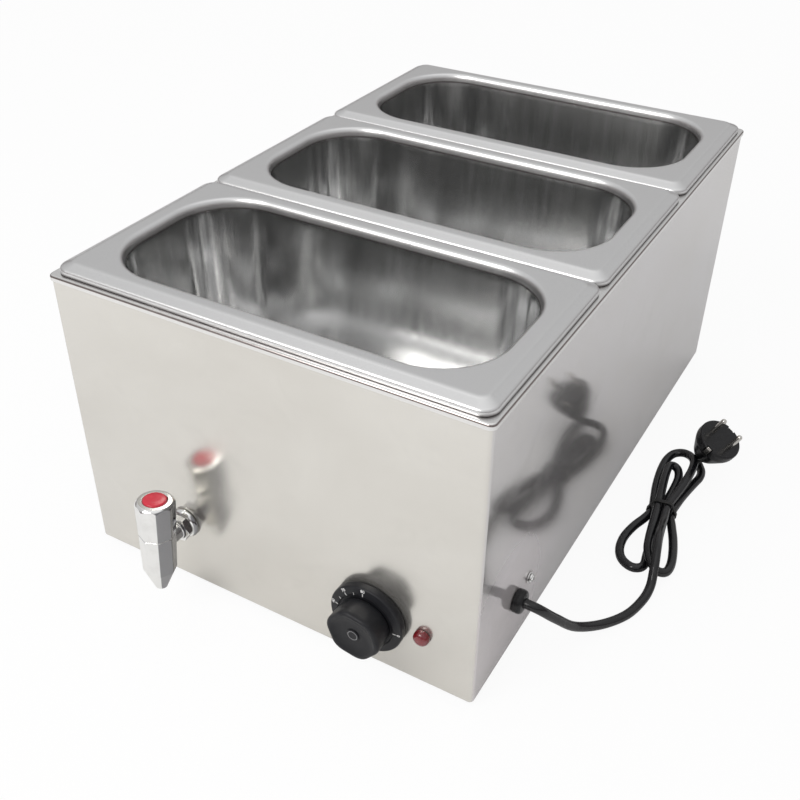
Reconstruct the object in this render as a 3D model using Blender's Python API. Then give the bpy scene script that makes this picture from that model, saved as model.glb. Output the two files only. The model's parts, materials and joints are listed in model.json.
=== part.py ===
"""Steam table unit: a counter-top wet-well food warmer with three lift-out pans.

Frame: X runs right across the front, Y runs to the back, Z is up.  The origin
is the centre of the base plate's underside.  Metres throughout.
"""
import bpy
import bmesh
from math import sin, cos, pi, radians
from mathutils import Vector, Matrix

# ================================================================ shared dimensions
BODY_W = 0.342            # casing, outside, across the front
BODY_D = 0.530            # casing, outside, front to back
HALF_W, HALF_D = BODY_W / 2, BODY_D / 2
FRONT, RIGHT = -HALF_D, HALF_W    # outer faces of the front and right panels
SHEET = 0.0010            # casing and tank sheet
GAP = 0.0003              # air between neighbouring pieces
BEHIND_PANEL = -SHEET - GAP       # just inside a panel, measured outwards from its face
TABLE_Z = -0.0083         # what the feet stand on

FLANGE_Z = 0.2427         # top of the tank flange
TANK_FLOOR = 0.0790       # tank floor, inside
UNDER_TANK = TANK_FLOOR - SHEET - GAP
ABOVE_FLOOR = TANK_FLOOR + GAP

LEG_X, LEG_Y = 0.105, 0.205       # heating element legs, through the tank floor
LEG_HOLE_R = 0.0043
GLAND_Y = 0.060                   # sensor gland, on the centre line

TAP_X, TAP_STEM_Z = -0.0754, 0.0567
TAP_JOINT = Vector((TAP_X, -0.29569, 0.06899))    # between spout and handle
TAP_TILT = radians(-5.1)
DRAIN_Y = -0.2140
PIPE_R = 0.0079                   # tap tail and drain elbow, outside
PIPE_CLEAR_R = PIPE_R + GAP       # bore of the rings and nuts round them
PIPE_HOLE_R = 0.0083              # hole in the sheet

KNOB_X, KNOB_Z = 0.0892, 0.0467
SHAFT_R = 0.0030
SCREW_OFFSET = 0.014              # thermostat screws, either side of the shaft
SCREW_HOLE_R = 0.0018
SCREW_XS = (("l", "left", KNOB_X - SCREW_OFFSET), ("r", "right", KNOB_X + SCREW_OFFSET))
THERM_FRONT_Y = FRONT + SHEET + 0.0004
THERM_REAR_Y = FRONT + 0.0440

LAMP_X, LAMP_Z = 0.1308, 0.0460
CORD_Y, CORD_Z = -0.2012, 0.0457
EARTH_Y, EARTH_Z = -0.1780, 0.0480

FACE_FRONT = (pi / 2, 0, 0)       # local +Z points out of the front panel
FACE_RIGHT = (0, pi / 2, 0)       # local +Z points out of the right panel


def on_front(x, z, out=0.0):
    """Location and rotation for a piece turned about an axis out of the front panel."""
    return (x, FRONT - out, z), FACE_FRONT


def on_right(y, z):
    return (RIGHT, y, z), FACE_RIGHT


KNOB_AXIS = on_front(KNOB_X, KNOB_Z)
LAMP_AXIS = on_front(LAMP_X, LAMP_Z)
STEM_AXIS = on_front(TAP_X, TAP_STEM_Z)
SPOUT_AXIS = on_front(TAP_X, TAP_STEM_Z, out=0.0318)
TAP_AXIS = TAP_JOINT, (TAP_TILT, 0, 0)
CORD_AXIS = on_right(CORD_Y, CORD_Z)
EARTH_AXIS = on_right(EARTH_Y, EARTH_Z)

# ================================================================ materials
STEEL = dict(rgb=(0.62, 0.61, 0.59), roughness=0.32, metallic=1.0)
BRIGHT = dict(rgb=(0.74, 0.74, 0.73), roughness=0.18, metallic=1.0)
CHROME = dict(rgb=(0.80, 0.80, 0.80), roughness=0.08, metallic=1.0)
BRASS = dict(rgb=(0.72, 0.55, 0.25), roughness=0.3, metallic=1.0)
DARK_METAL = dict(rgb=(0.30, 0.29, 0.28), roughness=0.4, metallic=1.0)
BLACK = dict(rgb=(0.018, 0.018, 0.020), roughness=0.45, metallic=0.0)
CHARCOAL = dict(rgb=(0.10, 0.10, 0.11), roughness=0.3, metallic=0.0)
RUBBER = dict(rgb=(0.020, 0.020, 0.020), roughness=0.75, metallic=0.0)
RED = dict(rgb=(0.55, 0.03, 0.04), roughness=0.25, metallic=0.0)
CERAMIC = dict(rgb=(0.80, 0.78, 0.72), roughness=0.5, metallic=0.0)


def make_material(name, rgb, roughness, metallic):
    material = bpy.data.materials.new(name)
    material.use_nodes = True
    shader = material.node_tree.nodes["Principled BSDF"]
    shader.inputs["Base Color"].default_value = (*rgb, 1)
    shader.inputs["Roughness"].default_value = roughness
    shader.inputs["Metallic"].default_value = metallic
    material.diffuse_color = (*rgb, 1)
    return material


# ================================================================ scene and objects
for old in list(bpy.data.objects):
    bpy.data.objects.remove(old, do_unlink=True)
PARTS = bpy.data.collections.new("steam_table_unit")
CUTTERS = bpy.data.collections.new("cutters")
bpy.context.scene.collection.children.link(PARTS)
bpy.context.scene.collection.children.link(CUTTERS)

SHARP_ANGLE = radians(35)         # edges steeper than this stay sharp


def new_object(name, bm, collection, loc, rot):
    """A finished bmesh becomes a smooth-shaded object."""
    bmesh.ops.recalc_face_normals(bm, faces=bm.faces)
    mesh = bpy.data.meshes.new(name)
    bm.to_mesh(mesh)
    bm.free()
    mesh.shade_smooth()
    mesh.set_sharp_from_angle(angle=SHARP_ANGLE)
    obj = bpy.data.objects.new(name, mesh)
    collection.objects.link(obj)
    obj.location = loc
    obj.rotation_euler = rot
    return obj


def add_part(name, bm, look, loc=(0, 0, 0), rot=(0, 0, 0)):
    """A piece of the product, with its own material."""
    obj = new_object(name, bm, PARTS, loc, rot)
    obj.data.materials.append(make_material(name, **look))
    return obj


def add_cutter(target, name, bm, loc=(0, 0, 0), rot=(0, 0, 0), operation='DIFFERENCE'):
    """A hidden helper that a boolean on the target uses."""
    cutter = new_object(name, bm, CUTTERS, loc, rot)
    cutter.hide_render = True
    cutter.display_type = 'WIRE'
    modifier = target.modifiers.new(name, 'BOOLEAN')
    modifier.operation = operation
    modifier.solver = 'EXACT'
    modifier.object = cutter
    return cutter


# ================================================================ shapes
def rounded_rect(half_x, half_y, corner, z, steps=4):
    """A rounded rectangle, anticlockwise seen from above."""
    in_x, in_y = half_x - corner, half_y - corner
    points = []
    for x, y, start in ((in_x, in_y, 0), (-in_x, in_y, 90), (-in_x, -in_y, 180), (in_x, -in_y, 270)):
        for i in range(steps + 1):
            angle = radians(start + 90 * i / steps)
            points.append(Vector((x + corner * cos(angle), y + corner * sin(angle), z)))
    return points


def circle(radius, height, count=24):
    angles = [2 * pi * i / count for i in range(count)]
    return [Vector((radius * cos(t), radius * sin(t), height)) for t in angles]


def polygon(sides, corner_r, height, per_side=3):
    """A regular polygon with each side split evenly by angle."""
    count = sides * per_side
    points = []
    for i in range(count):
        angle = 2 * pi * i / count
        from_mid = angle % (2 * pi / sides) - pi / sides
        radius = corner_r * cos(pi / sides) / cos(from_mid)
        points.append(Vector((radius * cos(angle), radius * sin(angle), height)))
    return points


def loft(loops, closed=False):
    """Skin through sections that each hold the same number of points."""
    bm = bmesh.new()
    rings = [[bm.verts.new(p) for p in loop] for loop in loops]
    pairs = list(zip(rings, rings[1:]))
    if closed:
        pairs.append((rings[-1], rings[0]))
    count = len(rings[0])
    for low, high in pairs:
        for i in range(count):
            j = (i + 1) % count
            bm.faces.new((low[i], low[j], high[j], high[i]))
    if not closed:
        bm.faces.new(rings[0])
        bm.faces.new(rings[-1])
    return bm


def lathe(profile, steps, ring=False):
    """Turn (radius, height) points about Z; a ring profile closes on itself."""
    bm = bmesh.new()
    verts = [bm.verts.new((radius, 0, height)) for radius, height in profile]
    edges = [bm.edges.new(pair) for pair in zip(verts, verts[1:])]
    if ring:
        edges.append(bm.edges.new((verts[-1], verts[0])))
    bmesh.ops.spin(bm, geom=verts + edges, cent=(0, 0, 0), axis=(0, 0, 1),
                   angle=2 * pi, steps=steps, use_merge=True)
    bmesh.ops.remove_doubles(bm, verts=bm.verts, dist=1e-6)
    return bm


def washer(bore, outer, low, high, steps, chamfer=0.0003):
    """A flat ring with its outer edges broken."""
    return lathe([(bore, low), (outer - chamfer, low), (outer, low + chamfer),
                  (outer, high - chamfer), (outer - chamfer, high), (bore, high)], steps, ring=True)


def cylinder(radius, low, high, steps, chamfer=0.0):
    if not chamfer:
        return lathe([(0, low), (radius, low), (radius, high), (0, high)], steps)
    return lathe([(0, low), (radius - chamfer, low), (radius, low + chamfer),
                  (radius, high - chamfer), (radius - chamfer, high), (0, high)], steps)


def hex_nut(bore, corner_r, low, high, per_side=3):
    """A hexagon nut: six flats outside, a round bore, chamfered corners."""
    count = 6 * per_side
    chamfer = 0.0006
    flat_r = corner_r * cos(pi / 6)
    return loft([circle(bore, low, count), circle(flat_r, low, count),
                 polygon(6, corner_r, low + chamfer, per_side),
                 polygon(6, corner_r, high - chamfer, per_side),
                 circle(flat_r, high, count), circle(bore, high, count)], closed=True)


def block(size_x, size_y, size_z, bevel=0.0):
    bm = bmesh.new()
    bmesh.ops.create_cube(bm, size=1.0, matrix=Matrix.Diagonal((size_x, size_y, size_z, 1)))
    if bevel:
        bmesh.ops.bevel(bm, geom=list(bm.edges), offset=bevel, segments=1, profile=0.5,
                        affect='EDGES')
    return bm


TURN_STEP = radians(28)           # turn that earns a swept path one more section


def smooth_path(controls, step):
    """Catmull-Rom curve through the control points, sampled about every step."""
    p = [Vector(c) for c in controls]
    p = [p[0] * 2 - p[1]] + p + [p[-1] * 2 - p[-2]]
    path = []
    for before, start, end, after in zip(p, p[1:], p[2:], p[3:]):
        turn = (end - before).angle(after - start)
        count = max(1, int(round((end - start).length / step)), int(round(turn / TURN_STEP)))
        for j in range(count):
            t = j / count
            path.append(0.5 * ((2 * start) + (end - before) * t
                               + (2 * before - 5 * start + 4 * end - after) * t * t
                               + (3 * start - before - 3 * end + after) * t ** 3))
    path.append(p[-2])
    return path


def add_rod(name, points, radius, look, resolution):
    """A round rod swept along a polyline, ends filled and welded."""
    curve = bpy.data.curves.new(name + "_path", 'CURVE')
    curve.dimensions = '3D'
    curve.bevel_depth = radius
    curve.bevel_resolution = resolution
    curve.use_fill_caps = True
    spline = curve.splines.new('POLY')
    spline.points.add(len(points) - 1)
    for spline_point, point in zip(spline.points, points):
        spline_point.co = (*point, 1)
    sweep = bpy.data.objects.new(name + "_path", curve)
    PARTS.objects.link(sweep)
    depsgraph = bpy.context.evaluated_depsgraph_get()
    mesh = bpy.data.meshes.new_from_object(sweep.evaluated_get(depsgraph))
    bm = bmesh.new()
    bm.from_mesh(mesh)
    bmesh.ops.remove_doubles(bm, verts=bm.verts, dist=1e-6)
    bpy.data.objects.remove(sweep, do_unlink=True)
    bpy.data.meshes.remove(mesh)
    add_part(name, bm, look)


def tube_rings(path, radius, count):
    """Circles square to a path, turned as little as possible along it."""
    rings = []
    across = (path[1] - path[0]).normalized().orthogonal().normalized()
    for i, point in enumerate(path):
        along = (path[min(i + 1, len(path) - 1)] - path[max(i - 1, 0)]).normalized()
        across = (across - along * across.dot(along)).normalized()
        other = along.cross(across)
        angles = [2 * pi * k / count for k in range(count)]
        rings.append([point + (across * cos(t) + other * sin(t)) * radius for t in angles])
    return rings


# ================================================================ casing
SHELL_Z0 = -0.0013        # underside of the casing's bottom return
SHELL_TOP = 0.2414        # casing's top edge, under the tank flange
SHELL_R = 0.0035          # upright corner radius
RETURN_W = 0.014          # bottom return, inwards
RETURN_R = 0.0008         # corner radius of the return's inner edge


def build_shell():
    sections = (          # inset, z, corner radius
        (0, SHELL_TOP, SHELL_R), (0, SHELL_Z0 + 0.0015, SHELL_R),
        (0.00035, SHELL_Z0 + 0.0005, SHELL_R - 0.00035), (0.0012, SHELL_Z0, SHELL_R - 0.0012),
        (RETURN_W, SHELL_Z0, RETURN_R), (RETURN_W, SHELL_Z0 + SHEET, RETURN_R),
        (SHEET, SHELL_Z0 + SHEET, SHELL_R - SHEET), (SHEET, SHELL_TOP, SHELL_R - SHEET))
    shell = add_part("outer_shell", loft(
        [rounded_rect(HALF_W - inset, HALF_D - inset, corner, z, 3) for inset, z, corner in sections],
        closed=True), STEEL)
    holes = [("cut_tap", PIPE_HOLE_R, STEM_AXIS), ("cut_shaft", 0.0050, KNOB_AXIS),
             ("cut_lamp", 0.0052, LAMP_AXIS)]
    holes += [("cut_therm_" + tag, SCREW_HOLE_R, on_front(x, KNOB_Z)) for tag, _, x in SCREW_XS]
    holes += [("cut_cord", 0.0073, CORD_AXIS), ("cut_earth", 0.0024, EARTH_AXIS)]
    for name, radius, axis in holes:
        add_cutter(shell, name, cylinder(radius, -0.004, 0.004, 16), *axis)


FOOT_X, FOOT_Y, FOOT_R = 0.138, 0.232, 0.0125
FOOT_BORE_R = 0.0024
FEET = [(f"{depth}_{side}", (x * FOOT_X, y * FOOT_Y, 0))
        for y, depth in ((-1, "front"), (1, "rear")) for x, side in ((-1, "left"), (1, "right"))]


def build_base_plate():
    """The closing plate, with a pressed stiffening bead round its centre panel."""
    bead_h, edge_inset, edge_r = 0.0011, 0.0015, 0.002
    centre = Vector((0.0060, 0.0040, 0))

    def bead(inset, z):
        loop = rounded_rect(0.0860 - inset, 0.1500 - inset, 0.0120 - inset, z, 3)
        return [point + centre for point in loop]

    def edge(z):
        return rounded_rect(HALF_W - edge_inset, HALF_D - edge_inset, edge_r, z, 3)

    base = add_part("base_plate", loft([
        bead(0.0065, 0), bead(0.0048, bead_h), bead(0.0020, bead_h), bead(0.0003, 0), edge(0),
        edge(SHEET), bead(0, SHEET), bead(0.0017, SHEET + bead_h), bead(0.0051, SHEET + bead_h),
        bead(0.0068, SHEET)]), STEEL)
    for tag, at in FEET:
        add_cutter(base, "cut_foot_" + tag, cylinder(FOOT_BORE_R, -0.003, 0.003, 12), at)


def build_feet():
    foot = ((FOOT_BORE_R, -GAP), (FOOT_R - 0.0010, -GAP), (FOOT_R, TABLE_Z + 0.0010),
            (FOOT_R - 0.0010, TABLE_Z), (0.0050, TABLE_Z), (0.0050, TABLE_Z + 0.0042),
            (FOOT_BORE_R, TABLE_Z + 0.0042))
    screw = ((0, TABLE_Z + 0.0016), (0.0034, TABLE_Z + 0.0018), (0.0040, TABLE_Z + 0.0039),
             (0.0019, TABLE_Z + 0.0039), (0.0019, 0.0060), (0, 0.0075))
    for tag, at in FEET:
        add_part("foot_" + tag, lathe(foot, 16, ring=True), RUBBER, at)
        add_part("foot_screw_" + tag, lathe(screw, 10), STEEL, at)


# ================================================================ tank
TANK_HALF_X, TANK_HALF_Y = 0.1525, 0.2465   # half opening
LIP_Z0 = 0.2382           # lower edge of the flange's turned-down lip
LIP_OUT = 0.0013          # lip's outer face beyond the casing


def build_tank():
    def well(outset, corner, z):
        return rounded_rect(TANK_HALF_X + outset, TANK_HALF_Y + outset, corner, z, 3)

    def lip(inset, corner, z):
        return rounded_rect(HALF_W + LIP_OUT - inset, HALF_D + LIP_OUT - inset, corner, z, 3)

    tank = add_part("tank_liner", loft([
        # inside, from the floor up
        well(-0.0110, 0.010, TANK_FLOOR), well(-0.0060, 0.013, TANK_FLOOR + 0.0012),
        well(-0.0042, 0.015, TANK_FLOOR + 0.0055), well(0, 0.020, FLANGE_Z - 0.0022),
        well(0.0005, 0.0205, FLANGE_Z - 0.0007), well(0.0018, 0.0215, FLANGE_Z),
        # over the flange, round the lip and back beneath
        lip(0.0017, 0.0033, FLANGE_Z), lip(0.0005, 0.0044, FLANGE_Z - 0.0005),
        lip(0, 0.0048, FLANGE_Z - 0.0017), lip(0, 0.0048, LIP_Z0), lip(SHEET, 0.0038, LIP_Z0),
        lip(SHEET, 0.0038, FLANGE_Z - SHEET), well(0.0025, 0.0222, FLANGE_Z - SHEET),
        # outside, down to the floor
        well(0.0010, 0.0210, FLANGE_Z - 0.0024), well(-0.0032, 0.016, TANK_FLOOR + 0.0050),
        well(-0.0054, 0.0136, TANK_FLOOR + 0.0003), well(-0.0108, 0.0102, TANK_FLOOR - SHEET)]),
        BRIGHT)
    for name, radius, x, y in (("cut_drain", PIPE_HOLE_R, TAP_X, DRAIN_Y),
                               ("cut_leg_a", LEG_HOLE_R, -LEG_X, LEG_Y),
                               ("cut_leg_b", LEG_HOLE_R, LEG_X, LEG_Y),
                               ("cut_gland", 0.0034, 0.0, GLAND_Y)):
        add_cutter(tank, name, cylinder(radius, -0.006, 0.006, 14), (x, y, TANK_FLOOR))


# ================================================================ pans
PAN_PITCH = 0.1753
RIM_HALF_X, RIM_HALF_Y, RIM_R = 0.1690, 0.0874, 0.011
OPEN_HALF_X, OPEN_HALF_Y, OPEN_R = 0.1490, 0.0700, 0.050
RIM_Z0 = FLANGE_Z + GAP           # lower edge of the rim
PAN_TOP = RIM_Z0 + 0.0078
PAN_BOTTOM = PAN_TOP - 0.150
PAN_T = 0.0008


def build_pan(name, y):
    def rim(inset, z):
        corner = max(RIM_R - 0.55 * inset, 0.006)
        return rounded_rect(RIM_HALF_X - inset, RIM_HALF_Y - inset, corner, z)

    def wall(inset, z):
        return rounded_rect(OPEN_HALF_X - inset, OPEN_HALF_Y - inset, OPEN_R - inset, z)

    top, bottom, thick = PAN_TOP, PAN_BOTTOM, PAN_T
    add_part(name, loft([
        # inside, from the floor up
        wall(0.0200, bottom + thick), wall(0.0125, bottom + thick + 0.0030),
        wall(0.0092, bottom + thick + 0.0120), wall(0.0016, top - 0.0052),
        wall(0.0008, top - 0.0016), wall(-0.0002, top - 0.0004), wall(-0.0016, top),
        # flange, then the sloped border and the turned-down edge
        rim(0.0086, top), rim(0.0072, top - 0.0009), rim(0.0016, top - 0.0031),
        rim(0.0004, top - 0.0039), rim(0.0, top - 0.0052), rim(0.0, RIM_Z0),
        rim(thick, RIM_Z0), rim(thick, top - 0.0053), rim(0.0022, top - 0.0039),
        rim(0.0076, top - 0.0018), rim(0.0090, top - thick),
        # outside, down to the floor
        wall(-0.0019, top - thick), wall(-0.0002, top - 0.0022),
        wall(0.0016 - thick, top - 0.0056), wall(0.0092 - thick, bottom + 0.0124),
        wall(0.0125 - thick, bottom + 0.0027), wall(0.0198, bottom)]), BRIGHT, (0, y, 0))


# ================================================================ heating
def serpentine():
    """Four runs along the tank joined by three half turns, legs down at the back."""
    run_z, leg_end_z, bend_r = 0.0912, 0.0600, 0.0098
    turn_y = 0.145                # half-turn centres, front and rear
    run_pitch = 2 * LEG_X / 3
    turn_r = run_pitch / 2
    left_leg = [Vector((-LEG_X, LEG_Y, leg_end_z))]
    for i in range(5):
        angle = pi / 2 * i / 4
        left_leg.append(Vector((-LEG_X, LEG_Y - bend_r + bend_r * cos(angle),
                                run_z - bend_r + bend_r * sin(angle))))
    turns = []
    for x, side in ((-run_pitch, -1), (0.0, 1), (run_pitch, -1)):
        for i in range(9):
            angle = pi * i / 8
            turns.append(Vector((x - turn_r * cos(angle),
                                 side * turn_y + side * turn_r * sin(angle), run_z)))
    right_leg = [Vector((LEG_X, p.y, p.z)) for p in reversed(left_leg)]
    return left_leg + turns + right_leg


def build_heating_element():
    add_rod("heating_element", serpentine(), 0.0040, DARK_METAL, 2)
    outer_r, nut_h = 0.0085, 0.0060
    for x, tag in ((-LEG_X, "left"), (LEG_X, "right")):
        at = (x, LEG_Y, 0)
        add_part("element_gasket_" + tag,
                 washer(LEG_HOLE_R, outer_r, ABOVE_FLOOR, TANK_FLOOR + 0.0018, 16), RUBBER, at)
        add_part("element_nut_" + tag,
                 hex_nut(LEG_HOLE_R, outer_r, UNDER_TANK - nut_h, UNDER_TANK), BRASS, at)


def build_sensor():
    """A bulb in the well, and a fine tube through a gland to the thermostat."""
    bulb_z = TANK_FLOOR + 0.0060
    add_part("sensor_bulb", cylinder(0.0030, -0.040, 0.040, 12, 0.0008), BRASS,
             (0.0, 0.012, bulb_z), (pi / 2, 0, 0))
    bore, neck_r, flange_r, low, high = 0.0013, 0.0031, 0.0058, 0.0684, TANK_FLOOR + 0.0030
    add_part("sensor_gland", lathe([
        (bore, low), (flange_r, low), (flange_r, UNDER_TANK), (neck_r, UNDER_TANK),
        (neck_r, high), (bore, high)], 16, ring=True), BRASS, (0.0, GLAND_Y, 0))
    route = smooth_path([
        (0.0, 0.0523, bulb_z), (0.0, 0.0563, bulb_z + 0.0002),
        (0.0, GLAND_Y - 0.0006, TANK_FLOOR + 0.0050), (0.0, GLAND_Y, TANK_FLOOR + 0.0020),
        (0.0, GLAND_Y, 0.0640), (0.004, 0.040, 0.0500), (0.035, -0.060, 0.0440),
        (0.080, -0.150, 0.0460), (KNOB_X, THERM_REAR_Y + 0.012, 0.0500),
        (KNOB_X, THERM_REAR_Y + GAP, 0.0500)], 0.014)
    add_rod("sensor_capillary", route, 0.0009, BRASS, 0)


# ================================================================ thermostat, dial and knob
def build_thermostat():
    depth = THERM_REAR_Y - THERM_FRONT_Y
    body = add_part("thermostat_body", block(0.042, depth, 0.040, 0.0020), CERAMIC,
                    (KNOB_X, (THERM_FRONT_Y + THERM_REAR_Y) / 2, KNOB_Z))
    add_cutter(body, "cut_therm_shaft", cylinder(0.00308, 0, 0.012, 16),
               (KNOB_X, THERM_FRONT_Y + 0.006, KNOB_Z), FACE_FRONT)
    add_part("thermostat_shaft", cylinder(SHAFT_R, -0.0055, 0.0190, 16, 0.0003), STEEL, *KNOB_AXIS)
    screw = ((0, -0.0060), (0.0015, -0.0060), (0.0015, 0.0033), (0.0030, 0.0033),
             (0.0028, 0.0048), (0, 0.0056))
    for tag, side, x in SCREW_XS:
        add_cutter(body, "cut_tap_" + tag, cylinder(0.0017, 0, 0.010, 10),
                   (x, THERM_FRONT_Y + 0.007, KNOB_Z), FACE_FRONT)
        add_part("thermostat_screw_" + side, lathe(screw, 10), STEEL, *on_front(x, KNOB_Z))


def build_bezel():
    outer_r, bore, face = 0.0290, 0.0050, 0.0078
    bezel = add_part("dial_bezel", lathe([
        (bore, GAP), (0.0274, GAP), (0.0281, 0.0010), (outer_r, 0.0026), (outer_r, 0.0070),
        (outer_r - 0.0007, 0.0080), (0.0226, 0.0087), (0.0218, face), (bore, face)],
        32, ring=True), BLACK, *KNOB_AXIS)
    pocket = ((0, -0.001), (SCREW_HOLE_R, -0.001), (SCREW_HOLE_R, 0.0030), (0.0034, 0.0030),
              (0.0034, 0.012), (0, 0.012))
    for tag, _, x in SCREW_XS:
        add_cutter(bezel, "cut_pocket_" + tag, lathe(pocket, 12), *on_front(x, KNOB_Z))


LOBES = 6
LOBE_ANGLE = radians(170)         # where one of the lobes points


def grip_loop(radius, groove, height, count=36):
    points = []
    for i in range(count):
        angle = 2 * pi * i / count
        r = radius - groove * (0.5 - 0.5 * cos(LOBES * (angle - LOBE_ANGLE)))
        points.append(Vector((r * cos(angle), r * sin(angle), height)))
    return points


def build_knob():
    sections = (          # radius over the lobes, groove depth, height
        (0.0060, 0, 0.0092), (0.0198, 0, 0.0092), (0.0203, 0.0002, 0.0100),
        (0.0208, 0.0008, 0.0165), (0.0212, 0.0012, 0.0226), (0.0210, 0.0013, 0.0248),
        (0.0200, 0.0012, 0.0261), (0.0182, 0.0009, 0.0262), (0.0164, 0.0005, 0.0253),
        (0.0070, 0, 0.0240))
    grip = add_part("knob_grip", loft([grip_loop(*section) for section in sections]),
                    BLACK, *KNOB_AXIS)
    add_cutter(grip, "cut_grip_bore", cylinder(0.00305, 0.004, 0.0194, 16), *KNOB_AXIS)
    add_part("knob_badge", lathe([(0, 0.0243), (0.0049, 0.0243), (0.0049, 0.0247),
                                  (0.0043, 0.0249), (0, 0.0249)], 20), CHARCOAL, *KNOB_AXIS)


# ================================================================ indicator lamp
def build_lamp():
    add_part("indicator_body", lathe([
        (0, -0.0160), (0.0044, -0.0160), (0.0050, -0.0150), (0.0050, 0.0003), (0.0068, 0.0003),
        (0.0066, 0.0013), (0, 0.0013)], 20), BLACK, *LAMP_AXIS)
    add_part("indicator_lens", lathe([
        (0, 0.0016), (0.0060, 0.0016), (0.0062, 0.0020), (0.0060, 0.0044), (0.0048, 0.0061),
        (0.0024, 0.0068), (0, 0.0070)], 24), RED, *LAMP_AXIS)


# ================================================================ tap
def build_tap_body():
    """An octagonal spout joined to a round stem, with the waterway cut through."""
    octagons = (          # corner radius, height
        (0.0128, 0.0), (0.0138, -0.0010), (0.0136, -0.0070), (0.0128, -0.0315),
        (0.0122, -0.0332), (0.0052, -0.0490))
    spout = add_part("tap_body", loft([polygon(8, *section) for section in octagons]
                                      + [circle(0.0044, -0.0500)]), CHROME, *TAP_AXIS)
    stem = ((0, -0.004), (0.0070, -0.004), (0.0070, -0.0195), (PIPE_R, -0.0200),
            (PIPE_R, -0.0555), (0.0073, -0.0568), (0, -0.0568))
    add_cutter(spout, "cut_tap_stem", lathe(stem, 20), *SPOUT_AXIS, operation='UNION')
    add_cutter(spout, "cut_tap_way", cylinder(0.0045, -0.060, 0.0, 16), *SPOUT_AXIS)
    add_cutter(spout, "cut_tap_bore", cylinder(0.00408, -0.0260, 0.004, 20), *TAP_AXIS)
    add_cutter(spout, "cut_tap_outlet", cylinder(0.0027, -0.055, -0.022, 14), *TAP_AXIS)


def build_tap_handle():
    octagons = ((0.0136, 0.0003), (0.0140, 0.0010), (0.0150, 0.0270), (0.0150, 0.0330))
    dome = ((0, -0.002), (0.0156, -0.002), (0.0156, 0.0244), (0.0150, 0.0266), (0.0140, 0.0285),
            (0.0124, 0.0298), (0.0092, 0.0301), (0.0090, 0.0288), (0, 0.0288))
    cap = ((0, 0.0290), (0.0086, 0.0290), (0.0088, 0.0293), (0.0088, 0.0304), (0.0080, 0.0311),
           (0.0052, 0.0317), (0, 0.0319))
    handle = add_part("tap_handle", loft([polygon(8, *section) for section in octagons]),
                      CHROME, *TAP_AXIS)
    add_cutter(handle, "cut_handle_dome", lathe(dome, 32), *TAP_AXIS, operation='INTERSECT')
    add_cutter(handle, "cut_handle_bore", cylinder(0.00405, -0.003, 0.0160, 20), *TAP_AXIS)
    add_part("tap_handle_cap", lathe(cap, 24), RED, *TAP_AXIS)
    add_part("tap_spindle", cylinder(0.0040, -0.0215, 0.0155, 20, 0.0004), BRASS, *TAP_AXIS)


def build_tap_mounting():
    """Rings and nuts that hold the tap's tail in the front panel."""
    bore = PIPE_CLEAR_R
    rosette = ((bore, GAP), (0.0120, GAP), (0.0125, 0.0008), (0.0125, 0.0018), (0.0114, 0.0038),
               (0.0100, 0.0048), (bore, 0.0048))
    add_part("tap_rosette", lathe(rosette, 24, ring=True), CHROME, *STEM_AXIS)
    add_part("tap_front_nut", hex_nut(bore, 0.0113, 0.0053, 0.0108), CHROME, *STEM_AXIS)
    add_part("tap_gasket", washer(bore, 0.0125, -0.0034, BEHIND_PANEL, 16), RUBBER, *STEM_AXIS)
    add_part("tap_lock_nut", hex_nut(bore, 0.0130, -0.0097, -0.0037), BRASS, *STEM_AXIS)


def build_drain():
    """An elbow from the tank floor to the tap's tail, with its fittings."""
    bend_r, nut_corner_r, sides = 0.013, 0.0125, 14
    path = [Vector((TAP_X, FRONT + 0.0254, TAP_STEM_Z))]
    for i in range(5):
        angle = pi / 2 * i / 4
        path.append(Vector((TAP_X, DRAIN_Y - bend_r + bend_r * sin(angle),
                            TAP_STEM_Z + bend_r - bend_r * cos(angle))))
    path.append(Vector((TAP_X, DRAIN_Y, TANK_FLOOR + 0.0012)))
    outside, inside = tube_rings(path, PIPE_R, sides), tube_rings(path, 0.0060, sides)
    add_part("drain_elbow", loft(outside + inside[::-1], closed=True), BRASS)
    add_part("drain_coupling", hex_nut(PIPE_CLEAR_R, nut_corner_r, -0.0330, -0.0180),
             BRASS, *STEM_AXIS)
    at = (TAP_X, DRAIN_Y, 0)
    add_part("drain_seat", washer(PIPE_CLEAR_R, 0.0135, ABOVE_FLOOR, TANK_FLOOR + 0.0016, 18),
             BRASS, at)
    add_part("drain_nut", hex_nut(PIPE_CLEAR_R, nut_corner_r, UNDER_TANK - 0.0050, UNDER_TANK),
             BRASS, at)


# ================================================================ wiring inside
LEADS = (                 # name, radius, sampling step, control points
    ("lead_element", 0.0014, 0.022, (
        (0.105, 0.205, 0.0596), (0.105, 0.203, 0.050), (0.112, 0.170, 0.020),
        (0.125, 0.060, 0.012), (0.122, -0.060, 0.016), (0.118, -0.105, 0.0142),
        (0.118, -0.1212, 0.014))),
    ("lead_thermostat", 0.0014, 0.010, (
        (0.100, THERM_REAR_Y + GAP, 0.036), (0.101, THERM_REAR_Y + 0.010, 0.034),
        (0.108, -0.200, 0.0150), (0.110, -0.192, 0.0140), (0.110, -0.1788, 0.014))),
    ("lead_lamp", 0.0011, 0.012, (
        (LAMP_X, FRONT + 0.0163, LAMP_Z), (LAMP_X, FRONT + 0.030, LAMP_Z - 0.004),
        (0.126, -0.205, 0.018), (0.125, -0.192, 0.0140), (0.125, -0.1788, 0.014))))


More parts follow.
